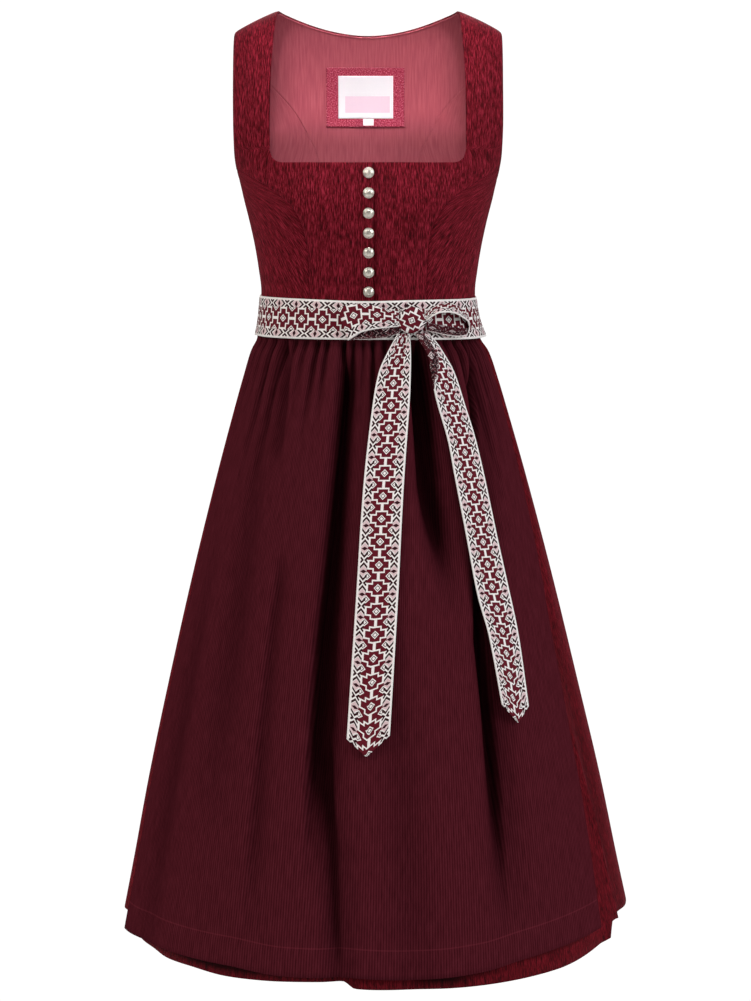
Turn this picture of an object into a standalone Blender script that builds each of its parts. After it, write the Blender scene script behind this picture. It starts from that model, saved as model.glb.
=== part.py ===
"""A dirndl: a bodice with shoulder straps, a gathered skirt, an apron and its ribbon bow.

It keeps the hollow form of being worn. The front faces -Y, +X is to the right of someone who looks
at it, and +Z is up. The origin lies under the cloth on top of the shoulders, midway between them.
Each cut and sewn piece is one closed wall of cloth, wrapped around rings worked out from the tables.
All sizes are in metres and all angles in degrees. An angle goes round from the front (0) over the
right side (90) to the back (180).
"""
import math
from collections import namedtuple

import bmesh
import bpy
from mathutils import Matrix, Vector

# Cloth and seams
SEAM_GAP = 0.0003
SEAM_HALF = 0.6 * SEAM_GAP
SIDE_SEAM_HALF = 0.07
LINING_GAP = 0.0008
LINING_SHORT = 0.0010
BODICE_CLOTH = 0.0020
LINING_CLOTH = 0.0010
LABEL_CLOTH = 0.0010
SKIRT_CLOTH = 0.0015
APRON_CLOTH = 0.0015
RIBBON_CLOTH = 0.0013

# Heights
WAIST = -0.340
UNDERARM = -0.179
CHEST = -0.120
OVER_SHOULDER = 0.160
NECKLINE = -0.160
NECK_CORNER_RADIUS = 0.013
BELT_TOP = -0.3040
BELT_BOTTOM = -0.3485
APRON_TOP = -0.3435

# Shoulder line: its height at the middle, its fall at the strap's tip and that tip's distance out
SHOULDER_MIDDLE = 0.022
SHOULDER_FALL = 0.042
STRAP_TIP = 0.145
NECK_POINT = 0.097
BACK_NECK_DEPTH = 0.080

# Fullness of the bust: how far out, how high, and how far it swells over how much width and height
BUST_X = 0.070
BUST_HEIGHT = -0.200
BUST_SWELL = 0.009
BUST_WIDE = 0.042
BUST_TALL = 0.038

# How square the rings are: 2 is an ellipse
BODY_POWER = 2.25
SKIRT_POWER = 2.10

# Button row
BUTTON_COUNT = 7
BUTTON_TOP = -0.1712
BUTTON_PITCH = 0.0209
BUTTON_X = 0.0008
BUTTON_RADIUS = 0.0058
BUTTON_SEAT = 0.0004
BUTTON_SIDES = 10
LAP_EDGE = 0.0058
LAP_UNDER = -0.008
LAP_STEP = 0.0025
LAP_STEP_END = 0.017
LAP_STEP_WIDTH = 0.006
BUTTON_PROFILE = (
    (0.0, 0.0), (0.90, 0.0), (1.0, 0.0006), (0.97, 0.0019), (0.74, 0.0036), (0.36, 0.0045), (0.0, 0.0047),
)

# Colours, linear, and how rough each finish is
VELOUR_RED = (0.113, 0.0072, 0.0155)
LINING_ROSE = (0.40, 0.085, 0.105)
PATCH_RED = (0.33, 0.030, 0.070)
LABEL_WHITE = (0.80, 0.78, 0.76)
SILVER = (0.55, 0.53, 0.50)
SKIRT_RED = (0.100, 0.0049, 0.0116)
APRON_BURGUNDY = (0.051, 0.0072, 0.0116)
RIBBON_MIXED = (0.296, 0.196, 0.196)

Section = namedtuple("Section", "height half_width front back shift")
Point = namedtuple("Point", "at x")
Fold = namedtuple("Fold", "top bottom angle_top angle_middle angle_bottom width depth")
Gather = namedtuple("Gather", "angle depth length")
TailRow = namedtuple("TailRow", "height x width turn lift")
LoopRow = namedtuple("LoopRow", "at x_top z_top x_low z_low lift")

# Body of the bodice and belt, from the waist up to the chest
BODY = (
    Section(-0.3530, 0.1202, 0.0976, 0.0906, 0.0),
    Section(-0.3250, 0.1178, 0.0956, 0.0886, 0.0),
    Section(-0.3000, 0.1172, 0.0955, 0.0890, 0.0),
    Section(-0.2750, 0.1200, 0.0985, 0.0925, 0.0),
    Section(-0.2500, 0.1240, 0.1025, 0.0965, 0.0),
    Section(-0.2250, 0.1293, 0.1065, 0.1000, 0.0),
    Section(-0.2000, 0.1355, 0.1090, 0.1030, 0.0),
    Section(-0.1790, 0.1405, 0.1090, 0.1045, 0.0),
    Section(-0.1650, 0.1460, 0.1080, 0.1050, 0.0),
    Section(-0.1500, 0.1520, 0.1070, 0.1053, 0.0),
    Section(-0.1350, 0.1580, 0.1052, 0.1053, 0.0),
    Section(-0.1200, 0.1630, 0.1030, 0.1050, 0.0),
)

# Outer limit of the skirt and apron, from the hem up to the waist seam
SKIRT = (
    Section(-1.0120, 0.2880, 0.2640, 0.2560, 0.0090),
    Section(-0.9290, 0.2705, 0.2510, 0.2430, 0.0080),
    Section(-0.8420, 0.2530, 0.2340, 0.2270, 0.0070),
    Section(-0.7280, 0.2270, 0.2080, 0.2015, 0.0055),
    Section(-0.6150, 0.2000, 0.1800, 0.1745, 0.0045),
    Section(-0.5030, 0.1710, 0.1500, 0.1455, 0.0035),
    Section(-0.4200, 0.1480, 0.1255, 0.1215, 0.0025),
    Section(-0.3920, 0.1400, 0.1170, 0.1125, 0.0020),
    Section(-0.3650, 0.1315, 0.1085, 0.1020, 0.0010),
    Section(-0.3525, 0.1240, 0.1012, 0.0940, 0.0),
    Section(-0.3400, 0.1190, 0.0967, 0.0897, 0.0),
)

# Half of the bust seam, the back seam and the armhole, as distances from the centre by height
BUST_SEAM = (
    Point(-0.340, 0.0620), Point(-0.294, 0.0625), Point(-0.260, 0.0635), Point(-0.236, 0.0670),
    Point(-0.222, 0.0715), Point(-0.208, 0.0795), Point(-0.194, 0.0950), Point(-0.179, 0.1190),
    Point(-0.168, 0.1400),
)
BACK_SEAM = (
    Point(-0.340, 0.0440), Point(-0.250, 0.0470), Point(-0.190, 0.0500), Point(-0.157, 0.0570),
    Point(-0.116, 0.0770), Point(-0.085, 0.1050), Point(-0.060, 0.1300), Point(-0.046, 0.1420),
)
ARMHOLE = (
    Point(-0.179, 0.1400), Point(-0.174, 0.1415), Point(-0.168, 0.1427), Point(-0.150, 0.1446),
    Point(-0.120, 0.1450), Point(0.000, 0.1450), Point(0.030, 0.1440), Point(0.040, 0.1420),
)
STRAP_INNER = (
    Point(-0.160, 0.1050), Point(-0.090, 0.1040), Point(-0.030, 0.1010), Point(0.040, NECK_POINT),
)

# Heights of the rows of the bodice panels. Seams that meet share them, so that their edges match.
LOWER_ROWS = (-0.340, -0.315, -0.294, -0.272, -0.250, -0.236, -0.222, -0.208, -0.194, -0.179, -0.174, -0.168)
FRONT_ROWS = LOWER_ROWS + (-0.147, -0.120, -0.095, -0.070, -0.046, -0.022, 0.002, 0.022, 0.040)
BACK_ROWS = LOWER_ROWS + (-0.145, -0.120, -0.095, -0.070, -0.046, -0.022, 0.002, 0.022, 0.040)
BUST_SEAM_TOP = 11
BACK_SEAM_TOP = 16

# Columns of a front panel, as shares of the way from the button edge to the strap and on to its edge
FRONT_COLUMNS = (0.0, 0.08, 0.145, 0.215, 0.40, 0.58, 0.74, 0.885, 0.930, 0.968, 1.0)
STRAP_COLUMNS = (0.33, 0.66, 1.0)
STRAP_SHARE = 0.7386

# Columns of half the back, as shares of the way out from its middle; one lies on the neck point
BACK_STEPS = (0.0, 0.20, 0.40, 0.56, 0.66, 0.70, 0.85, 1.0)
NECK_STEP = 0.70

# Columns of the side panels
SIDE_FRONT_COLUMNS = 5
SIDE_BACK_COLUMNS = 4

# Shares of the way from the top edge to the hem at which the skirt's and apron's rows lie
SKIRT_ROWS = (0.0, 0.014, 0.038, 0.080, 0.135, 0.230, 0.370, 0.530, 0.700, 0.860, 1.0)
FINE_ROWS = 4
FRONT_SKIRT_COLUMNS = 36
FRONT_COLUMN_STEP = 180.0 / FRONT_SKIRT_COLUMNS

# Gathers of the apron, by the angle of each valley at the waist
APRON_GATHERS = (
    Gather(-75, 0.0040, 0.070), Gather(-68, 0.0035, 0.060), Gather(-60, 0.0055, 0.110),
    Gather(-52, 0.0050, 0.120), Gather(-45, 0.0030, 0.050), Gather(-38, 0.0030, 0.060),
    Gather(-31, 0.0045, 0.080), Gather(-25, 0.0040, 0.070), Gather(-15, 0.0060, 0.130),
    Gather(-9, 0.0040, 0.080), Gather(-3, 0.0030, 0.060), Gather(3, 0.0045, 0.090),
    Gather(11, 0.0030, 0.060), Gather(18, 0.0035, 0.070), Gather(25, 0.0055, 0.130),
    Gather(32, 0.0060, 0.130), Gather(40, 0.0040, 0.080), Gather(48, 0.0035, 0.070),
    Gather(55, 0.0050, 0.090), Gather(62, 0.0060, 0.120), Gather(68, 0.0050, 0.100),
    Gather(74, 0.0045, 0.070),
)

# Gathers of the skirt round the sides and the back, and how uneven their place, depth and length are
BACK_GATHER_COUNT = 20
BACK_GATHER_FIRST = 92.0
BACK_GATHER_LAST = 268.0
BACK_GATHER_DEPTH = 0.0050
BACK_GATHER_LENGTH = 0.100
UNEVEN_PLACE = 0.22
UNEVEN_DEPTH = 0.30
UNEVEN_LENGTH = 0.35

# Shape of one gather: its width in degrees, and how it starts under the belt
GATHER_WIDTH = 1.9
GATHER_START = 0.018
GATHER_RISE = 0.004
BELL_REACH = 3.0
FOLD_ENDS = 0.7

# Long soft folds, as troughs that run down the skirt and the apron alike
FOLDS = (
    Fold(-0.360, -0.930, -14.0, -14.8, -12.5, 4.2, 0.0080),
    Fold(-0.355, -0.640, 29.0, 24.5, 28.0, 4.5, 0.0085),
    Fold(-0.360, -0.960, 62.0, 38.5, 34.0, 4.0, 0.0090),
    Fold(-0.830, -1.060, -9.0, -8.0, -7.0, 3.6, 0.0050),
    Fold(-0.400, -0.860, -52.0, -47.0, -45.0, 5.5, 0.0060),
    Fold(-0.640, -1.060, 6.0, 8.0, 10.0, 5.5, 0.0050),
    Fold(-0.620, -1.060, 72.0, 73.0, 75.0, 4.0, 0.0080),
    Fold(-0.550, -1.060, -66.0, -64.0, -62.0, 5.0, 0.0060),
    Fold(-0.360, -1.060, 104.0, 107.0, 110.0, 5.0, 0.0110),
    Fold(-0.500, -1.060, 124.0, 128.0, 130.0, 4.5, 0.0090),
    Fold(-0.360, -0.940, 141.0, 145.0, 148.0, 5.0, 0.0100),
    Fold(-0.420, -1.060, 160.0, 164.0, 165.0, 4.5, 0.0090),
    Fold(-0.360, -1.060, 180.0, 182.0, 185.0, 5.5, 0.0110),
    Fold(-0.450, -1.060, 204.0, 205.0, 204.0, 4.5, 0.0095),
    Fold(-0.360, -0.900, 222.0, 224.0, 223.0, 5.0, 0.0100),
    Fold(-0.520, -1.060, 238.0, 241.0, 243.0, 4.5, 0.0085),
    Fold(-0.360, -1.060, 256.0, 258.0, 260.0, 5.0, 0.0100),
)

# Hems: height by angle for the skirt, and by share of the width for the apron
SKIRT_HEM = (
    Point(-100, -0.988), Point(-90, -0.987), Point(-82, -0.990), Point(-72, -1.000),
    Point(-50, -1.006), Point(-28, -1.002), Point(-10, -0.996), Point(-5, -1.007),
    Point(20, -1.009), Point(45, -1.008), Point(60, -1.003), Point(70, -0.996),
    Point(80, -0.989), Point(90, -0.987), Point(130, -0.990), Point(180, -0.991),
    Point(230, -0.990), Point(270, -0.987), Point(280, -0.990),
)
APRON_HEM = (
    Point(0.00, -1.000), Point(0.20, -0.993), Point(0.45, -0.988), Point(0.75, -0.984),
    Point(0.95, -0.980), Point(1.00, -0.979),
)
APRON_LEFT = (Point(-1.010, -77.0), Point(-0.700, -78.5), Point(-0.343, -81.0))
APRON_RIGHT = (Point(-1.010, 57.0), Point(-0.700, 63.0), Point(-0.500, 71.0), Point(-0.343, 79.0))

# How far the skirt lies inside the outer limit where the apron covers it
UNDER_APRON = (
    Point(-1.010, 0.0045), Point(-0.600, 0.0048), Point(-0.503, 0.0060), Point(-0.420, 0.0095),
    Point(-0.392, 0.0108), Point(-0.365, 0.0095), Point(-0.3525, 0.0064), Point(-0.3435, 0.0027),
    Point(-0.340, 0.0000),
)

# How many degrees past the apron's edges the skirt stays further in, and over how many it comes out
COVER_REACH = 8.0
COVER_FADE = 6.0

# How far the belt's inner side stands off the body
BELT_STAND = (Point(BELT_BOTTOM, 0.0040), Point(-0.338, 0.0028), Point(BELT_TOP, 0.0008))
BELT_COLUMNS = 60
BELT_ROWS = 2
BELT_JOIN = 24.0
BELT_JOIN_HALF = 0.1

# Ribbon tails of the bow, from the knot down. Lift is how far they hang in front of the apron.
LEFT_TAIL = (
    TailRow(-0.3406, 0.0405, 0.012, 0, 0.0082), TailRow(-0.3560, 0.0370, 0.018, 8, 0.0085),
    TailRow(-0.3800, 0.0300, 0.029, 6, 0.0060), TailRow(-0.4090, 0.0255, 0.038, 3, 0.0050),
    TailRow(-0.5000, 0.0190, 0.041, 0, 0.0040), TailRow(-0.6130, 0.0110, 0.043, -2, 0.0040),
    TailRow(-0.7500, 0.0020, 0.046, -3, 0.0040),
)
RIGHT_TAIL = (
    TailRow(-0.3406, 0.0605, 0.012, 20, 0.0084), TailRow(-0.3600, 0.0720, 0.020, 48, 0.0120),
    TailRow(-0.3800, 0.0800, 0.026, 34, 0.0110), TailRow(-0.4090, 0.0870, 0.030, 18, 0.0080),
    TailRow(-0.5120, 0.1065, 0.034, 8, 0.0060), TailRow(-0.6170, 0.1290, 0.037, 6, 0.0055),
    TailRow(-0.7250, 0.1520, 0.034, 12, 0.0055),
)
TAIL_POINT = 0.022
TAIL_POINT_POWER = 6
TAIL_CREASE = 0.0012
TAIL_COLUMNS = 4
TAIL_ROWS = 14
LEFT_TAIL_TIP = 0.45
RIGHT_TAIL_TIP = 0.60

# Ribbon loops of the bow: the top and the low edge along the ribbon, out from the knot and back
LEFT_LOOP = (
    LoopRow(0.00, 0.0330, -0.3170, 0.0330, -0.3330, 0.0056),
    LoopRow(0.12, 0.0230, -0.3150, 0.0235, -0.3340, 0.0082),
    LoopRow(0.25, 0.0110, -0.3115, 0.0100, -0.3355, 0.0088),
    LoopRow(0.38, -0.0090, -0.3088, -0.0060, -0.3390, 0.0080),
    LoopRow(0.46, -0.0290, -0.3115, -0.0180, -0.3460, 0.0068),
    LoopRow(0.50, -0.0325, -0.3130, -0.0215, -0.3475, 0.0050),
    LoopRow(0.54, -0.0290, -0.3135, -0.0180, -0.3470, 0.0031),
    LoopRow(0.75, 0.0130, -0.3150, 0.0140, -0.3450, 0.0028),
    LoopRow(1.00, 0.0330, -0.3170, 0.0330, -0.3375, 0.0030),
)
RIGHT_LOOP = (
    LoopRow(0.00, 0.0676, -0.3180, 0.0676, -0.3370, 0.0058),
    LoopRow(0.10, 0.0740, -0.3140, 0.0735, -0.3410, 0.0120),
    LoopRow(0.22, 0.0860, -0.3095, 0.0850, -0.3450, 0.0165),
    LoopRow(0.40, 0.1010, -0.3085, 0.1010, -0.3465, 0.0190),
    LoopRow(0.50, 0.1100, -0.3110, 0.1110, -0.3460, 0.0175),
    LoopRow(0.60, 0.1085, -0.3130, 0.1090, -0.3450, 0.0095),
    LoopRow(0.80, 0.0900, -0.3130, 0.0900, -0.3430, 0.0050),
    LoopRow(1.00, 0.0676, -0.3180, 0.0676, -0.3370, 0.0030),
)
LOOP_COLUMNS = 3
LOOP_ROWS = 16
KNOT_LEFT = 0.0333
KNOT_RIGHT = 0.0672
KNOT_TOP = -0.3128
KNOT_LOW = -0.3403
KNOT_DEPTH = 0.0085
KNOT_SEAT = 0.0016
KNOT_PINCH = 0.18
KNOT_ROUND = 0.55

# Red patch, white label and size tab inside the back: left, right, top and low edge
PATCH_BOX = (-0.0480, 0.0410, -0.0525, -0.1200)
LABEL_BOX = (-0.0345, 0.0283, -0.0615, -0.1102)
TAB_BOX = (-0.0060, 0.0060, -0.1106, -0.1184)

# Steps for the slopes from which a surface's outward direction is found
HEIGHT_PROBE = 0.0005
ANGLE_PROBE = 0.1
RIBBON_PROBE = 0.005


def read(rows, at, field="x", key="at"):
    """Read a table at any place between its rows, with a smooth curve through them."""
    places = [getattr(row, key) for row in rows]
    values = [getattr(row, field) for row in rows]
    if at <= places[0]:
        return values[0]
    if at >= places[-1]:
        return values[-1]
    index = max(i for i in range(len(places) - 1) if places[i] <= at)
    steps = [(values[i + 1] - values[i]) / (places[i + 1] - places[i]) for i in range(len(places) - 1)]

    def slope(i):
        before = steps[max(i - 1, 0)]
        after = steps[min(i, len(steps) - 1)]
        return 0.0 if before * after <= 0.0 else 2.0 * before * after / (before + after)

    span = places[index + 1] - places[index]
    t = (at - places[index]) / span
    start = (2 * t ** 3 - 3 * t ** 2 + 1) * values[index] + (t ** 3 - 2 * t ** 2 + t) * span * slope(index)
    end = (3 * t ** 2 - 2 * t ** 3) * values[index + 1] + (t ** 3 - t ** 2) * span * slope(index + 1)
    return start + end


def mix(a, b, share):
    return a + (b - a) * share


def soft_step(value):
    value = min(max(value, 0.0), 1.0)
    return value * value * (3.0 - 2.0 * value)


def bell(value):
    return math.exp(-value * value)


def ring(table, height):
    """Half width, front depth, back depth and sideways shift of a ring at one height."""
    flipped = table if table[0].height < table[-1].height else table[::-1]
    return [read(flipped, height, field, "height") for field in ("half_width", "front", "back", "shift")]


def on_ring(sizes, power, degrees):
    """A point on a ring, by its angle."""
    half_width, front, back, shift = sizes
    turn = math.radians(degrees)
    depth = front if math.cos(turn) > 0 else back
    across = abs(math.sin(turn) / half_width) ** power
    along = abs(math.cos(turn) / depth) ** power
    radius = (across + along) ** (-1.0 / power)
    return shift + radius * math.sin(turn), -radius * math.cos(turn)


def angle_at(sizes, power, x, behind=False):
    """The angle at which a ring crosses a distance x from the centre."""
    half_width, front, back, shift = sizes
    share = min(abs(x - shift) / half_width, 1.0)
    depth = (back if behind else front) * (1.0 - share ** power) ** (1.0 / power)
    degrees = math.degrees(math.atan2(abs(x - shift), depth))
    degrees = 180.0 - degrees if behind else degrees
    return degrees if x >= shift else -degrees


def body_point(degrees, height):
    """The outside of the bodice. Above the chest, height runs on over the shoulder."""
    low = min(height, CHEST)
    x, y = on_ring(ring(BODY, low), BODY_POWER, degrees)
    if math.cos(math.radians(degrees)) > 0:
        fullness = bell((abs(x) - BUST_X) / BUST_WIDE) * bell((height - BUST_HEIGHT) / BUST_TALL)
        y -= BUST_SWELL * fullness
    if height <= CHEST:
        return Vector((x, y, height))
    share = math.radians(90.0) * (height - CHEST) / OVER_SHOULDER
    top = SHOULDER_MIDDLE - SHOULDER_FALL * (x / STRAP_TIP) ** 2
    return Vector((x, y * math.cos(share), CHEST + (top - CHEST) * math.sin(share)))


def gather_list_back():
    """Valleys of the skirt's gathers round the sides and the back, spaced and sized by uneven sines."""
    step = (BACK_GATHER_LAST - BACK_GATHER_FIRST) / BACK_GATHER_COUNT
    rows = []
    for number in range(BACK_GATHER_COUNT):
        place = number + 0.5 + UNEVEN_PLACE * math.sin(2.4 * number)
        depth = BACK_GATHER_DEPTH * (1.0 + UNEVEN_DEPTH * math.sin(1.7 * number))
        length = BACK_GATHER_LENGTH * (1.0 + UNEVEN_LENGTH * math.sin(3.1 * number + 1.0))
        rows.append(Gather(BACK_GATHER_FIRST + step * place, depth, length))
    return tuple(rows)


BACK_GATHERS = gather_list_back()


def gather_depth(gathers, degrees, height):
    """How deep the gathers cut in at a place near the waist."""
    below = BELT_BOTTOM + GATHER_RISE - height
    if below <= 0.0:
        return 0.0
    start = soft_step(below / GATHER_START)
    depth = 0.0
    for row in gathers:
        reach = (degrees - row.angle) / GATHER_WIDTH
        if abs(reach) < BELL_REACH:
            depth += row.depth * bell(reach) * bell(below / row.length)
    return depth * start


def fold_depth(degrees, height):
    """How deep the long folds cut in at a place on the skirt."""
    depth = 0.0
    for row in FOLDS:
        share = (row.top - height) / (row.top - row.bottom)
        if not 0.0 < share < 1.0:
            continue
        if share < 0.5:
            middle = mix(row.angle_top, row.angle_middle, share * 2.0)
        else:
            middle = mix(row.angle_middle, row.angle_bottom, share * 2.0 - 1.0)
        reach = (degrees - middle + 180.0) % 360.0 - 180.0
        reach /= row.width
        if abs(reach) < BELL_REACH:
            depth += row.depth * bell(reach) * math.sin(math.pi * share) ** FOLD_ENDS
    return depth


def apron_angles(height):
    return read(APRON_LEFT, height), read(APRON_RIGHT, height)


def sideways(degrees):
    """The level direction out of the garment at an angle."""
    turn = math.radians(degrees)
    return Vector((math.sin(turn), -math.cos(turn), 0.0))


def skirt_point(degrees, height):
    """The outside of the skirt. Under the apron it lies further in."""
    turn = degrees if degrees <= 180.0 else degrees - 360.0
    x, y = on_ring(ring(SKIRT, height), SKIRT_POWER, degrees)
    left, right = apron_angles(height)
    covered = soft_step((turn - left + COVER_REACH) / COVER_FADE)
    covered *= soft_step((right + COVER_REACH - turn) / COVER_FADE)
    inward = covered * read(UNDER_APRON, height) + fold_depth(degrees, height)
    inward += gather_depth(BACK_GATHERS, degrees % 360.0, height)
    return Vector((x, y, height)) - sideways(degrees) * inward


def apron_point(degrees, height):
    """The outside of the apron, with its own gathers and the skirt's long folds."""
    x, y = on_ring(ring(SKIRT, height), SKIRT_POWER, degrees)
    inward = fold_depth(degrees, height)
    left, right = apron_angles(height)
    first, last = apron_angles(APRON_TOP)
    top_angle = mix(first, last, (degrees - left) / (right - left))
    inward += gather_depth(APRON_GATHERS, top_angle, height)
    return Vector((x, y, height)) - sideways(degrees) * inward


def belt_point(degrees, height):
    """The inner side of the belt."""
    x, y = on_ring(ring(BODY, height), BODY_POWER, degrees)
    stand = read(BELT_STAND, height)
    return Vector((x, y, height)) + sideways(degrees) * stand


def outward_from(surface, degrees, height):
    """The direction straight out of a surface of angle and height."""
    around = surface(degrees + ANGLE_PROBE, height) - surface(degrees - ANGLE_PROBE, height)
    upward = surface(degrees, height + HEIGHT_PROBE) - surface(degrees, height - HEIGHT_PROBE)
    return around.cross(upward).normalized()


def finish(name, mesh_data, colour, roughness, metallic=0.0):
    """Turn a bmesh into one named object with its own material."""
    bmesh.ops.triangulate(mesh_data, faces=mesh_data.faces[:])
    bmesh.ops.recalc_face_normals(mesh_data, faces=mesh_data.faces[:])
    mesh = bpy.data.meshes.new(name)
    mesh_data.to_mesh(mesh)
    mesh_data.free()
    mesh.shade_smooth()
    mesh.set_sharp_from_angle(angle=math.radians(50.0))
    material = bpy.data.materials.new(name)
    material.use_nodes = True
    shader = material.node_tree.nodes["Principled BSDF"]
    shader.inputs["Base Color"].default_value = (*colour, 1.0)
    shader.inputs["Roughness"].default_value = roughness
    shader.inputs["Metallic"].default_value = metallic
    mesh.materials.append(material)
    piece = bpy.data.objects.new(name, mesh)
    bpy.context.scene.collection.objects.link(piece)
    return piece


def cloth_wall(name, columns, rows, place, colour, roughness=0.8, keep=None, coarse_below=None):
    """A closed wall of cloth: a flat grid, thickened, then wrapped by place(column, row, layer).

    keep(column, row) says which cells stay. Rows under coarse_below get half as many columns.
    """
    cloth = bmesh.new()
    bmesh.ops.create_grid(cloth, x_segments=columns, y_segments=rows, size=0.5)
    for vert in cloth.verts:
        vert.co = (round((vert.co.x + 0.5) * columns), round((vert.co.y + 0.5) * rows), 0.0)
    if keep:
        dropped = [face for face in cloth.faces if not keep(*face.calc_center_median().xy)]
        bmesh.ops.delete(cloth, geom=dropped, context="FACES")
    if coarse_below is not None:
        spare = [edge for edge in cloth.edges
                 if all(vert.co.x % 2 == 1 and vert.co.y <= coarse_below for vert in edge.verts)]
        bmesh.ops.dissolve_edges(cloth, edges=spare, use_verts=True)
    raised = bmesh.ops.extrude_face_region(cloth, geom=cloth.faces[:])["geom"]
    for vert in raised:
        if isinstance(vert, bmesh.types.BMVert):
            vert.co.z = 1.0
    for vert in cloth.verts:
        vert.co = place(round(vert.co.x), round(vert.co.y), round(vert.co.z))
    return finish(name, cloth, colour, roughness)


def layered(surface, degrees, height, layer, outside, thickness):
    """A point of a wall: layer 0 is its outside, layer 1 its inside."""
    depth = outside - thickness * layer
    return surface(degrees, height) + outward_from(surface, degrees, height) * depth


def make_front(name, side):
    """A centre front with its strap. The left one laps over the right one at the buttons."""
    edge = LAP_EDGE if side < 0 else LAP_UNDER
    middle_columns = len(FRONT_COLUMNS) - 1
    columns = middle_columns + len(STRAP_COLUMNS)
    neck_row = BUST_SEAM_TOP + 1
    top_row = len(FRONT_ROWS) - 1

    def signed(distance):
        return distance if side > 0 else -distance

    def place(column, row, layer):
        height = FRONT_ROWS[row]
        if row == neck_row and column < middle_columns:
            corner = (1.0 - FRONT_COLUMNS[column]) * STRAP_INNER[0].x
            left = max(NECK_CORNER_RADIUS - corner, 0.0)
            rise = NECK_CORNER_RADIUS - math.sqrt(NECK_CORNER_RADIUS ** 2 - left ** 2)
            height = NECKLINE + rise
        if row == top_row:
            height -= SEAM_GAP / 2.0
        in_seam = row <= BUST_SEAM_TOP
        outer = read(BUST_SEAM, height) - SEAM_HALF if in_seam else read(ARMHOLE, height)
        start = edge * side
        split = start + (outer - start) * STRAP_SHARE if row <= neck_row else read(STRAP_INNER, height)
        if column <= middle_columns:
            distance = mix(start, split, FRONT_COLUMNS[column])
        else:
            distance = mix(split, outer, STRAP_COLUMNS[column - middle_columns - 1])
        sizes = ring(BODY, min(height, CHEST))
        degrees = angle_at(sizes, BODY_POWER, signed(distance))
        under = 0.0
        if side > 0:
            under = LAP_STEP * soft_step((LAP_STEP_END - distance) / LAP_STEP_WIDTH)
        return layered(body_point, degrees, height, layer, -under, BODICE_CLOTH)

    def keep(column, row):
        return row < neck_row or column > middle_columns

    return cloth_wall(name, columns, top_row, place, VELOUR_RED, keep=keep)


def make_side_front(name, side):
    """A side front, from the bust seam to the side seam, with a short stretch of armhole."""
    columns = SIDE_FRONT_COLUMNS

    def place(column, row, layer):
        height = FRONT_ROWS[row]
        if row == BUST_SEAM_TOP:
            height -= SEAM_GAP
        sizes = ring(BODY, height)
        inner = angle_at(sizes, BODY_POWER, read(BUST_SEAM, FRONT_ROWS[row]) + SEAM_HALF)
        outer = 90.0 - SIDE_SEAM_HALF
        if height > UNDERARM:
            outer = angle_at(sizes, BODY_POWER, read(ARMHOLE, height))
        degrees = mix(inner, outer, column / columns) * side
        return layered(body_point, degrees, height, layer, 0.0, BODICE_CLOTH)

    return cloth_wall(name, columns, BUST_SEAM_TOP, place, VELOUR_RED)


def make_back(name, outside, thickness, colour):
    """The centre back or its lining, with the two back straps."""
    half = len(BACK_STEPS) - 1

    def place(column, row, layer):
        side = 1 if column >= half else -1
        share = BACK_STEPS[abs(column - half)]
        height = BACK_ROWS[row]
        if row == 0 and outside < 0.0:
            height += LINING_SHORT
        in_seam = row <= BACK_SEAM_TOP
        outer = read(BACK_SEAM, height) - SEAM_HALF if in_seam else read(ARMHOLE, height)
        neck = outer * NECK_POINT / STRAP_TIP if in_seam else NECK_POINT
        neck_share = share / NECK_STEP
        distance = neck * neck_share
        if share > NECK_STEP:
            distance = mix(neck, outer, (share - NECK_STEP) / (1.0 - NECK_STEP))
        if height > CHEST and share < NECK_STEP:
            dip = BACK_NECK_DEPTH * math.sqrt(1.0 - neck_share ** 2)
            top = CHEST + OVER_SHOULDER - dip
            height = mix(CHEST, top, (height - CHEST) / OVER_SHOULDER)
        if row == len(BACK_ROWS) - 1:
            height -= SEAM_GAP / 2.0
        sizes = ring(BODY, min(height, CHEST))
        degrees = angle_at(sizes, BODY_POWER, distance * side, behind=True)
        return layered(body_point, degrees, height, layer, outside, thickness)

    return cloth_wall(name, half * 2, len(BACK_ROWS) - 1, place, colour)


def make_side_back(name, side, outside, thickness, colour):
    """A side back or its lining, from the back seam to the side seam and the armhole."""
    columns = SIDE_BACK_COLUMNS

    def place(column, row, layer):
        height = BACK_ROWS[row]
        if row == 0 and outside < 0.0:
            height += LINING_SHORT
        if row == BACK_SEAM_TOP:
            height -= SEAM_GAP
        sizes = ring(BODY, min(height, CHEST))
        inner = angle_at(sizes, BODY_POWER, read(BACK_SEAM, BACK_ROWS[row]) + SEAM_HALF, behind=True)
        outer = 90.0 + SIDE_SEAM_HALF
        if height > UNDERARM:
            outer = angle_at(sizes, BODY_POWER, read(ARMHOLE, height), behind=True)
        degrees = mix(outer, inner, column / columns) * side
        return layered(body_point, degrees, height, layer, outside, thickness)

    return cloth_wall(name, columns, BACK_SEAM_TOP, place, colour)


def inside_back(name, box, depth, colour, columns, rows):
    """A patch or label on the lining, made from the back's own surface, moved in."""
    left, right, top, low = box

    def place(column, row, layer):
        x = mix(left, right, column / columns)
        z = mix(low, top, row / rows)
        crest = SHOULDER_MIDDLE - SHOULDER_FALL * (x / STRAP_TIP) ** 2
        height = z
        if z > CHEST:
            height = CHEST + OVER_SHOULDER * math.asin((z - CHEST) / (crest - CHEST)) / math.radians(90.0)
        degrees = angle_at(ring(BODY, min(height, CHEST)), BODY_POWER, x, behind=True)
        return layered(body_point, degrees, height, layer, -depth, LABEL_CLOTH)

    return cloth_wall(name, columns, rows, place, colour)


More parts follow.
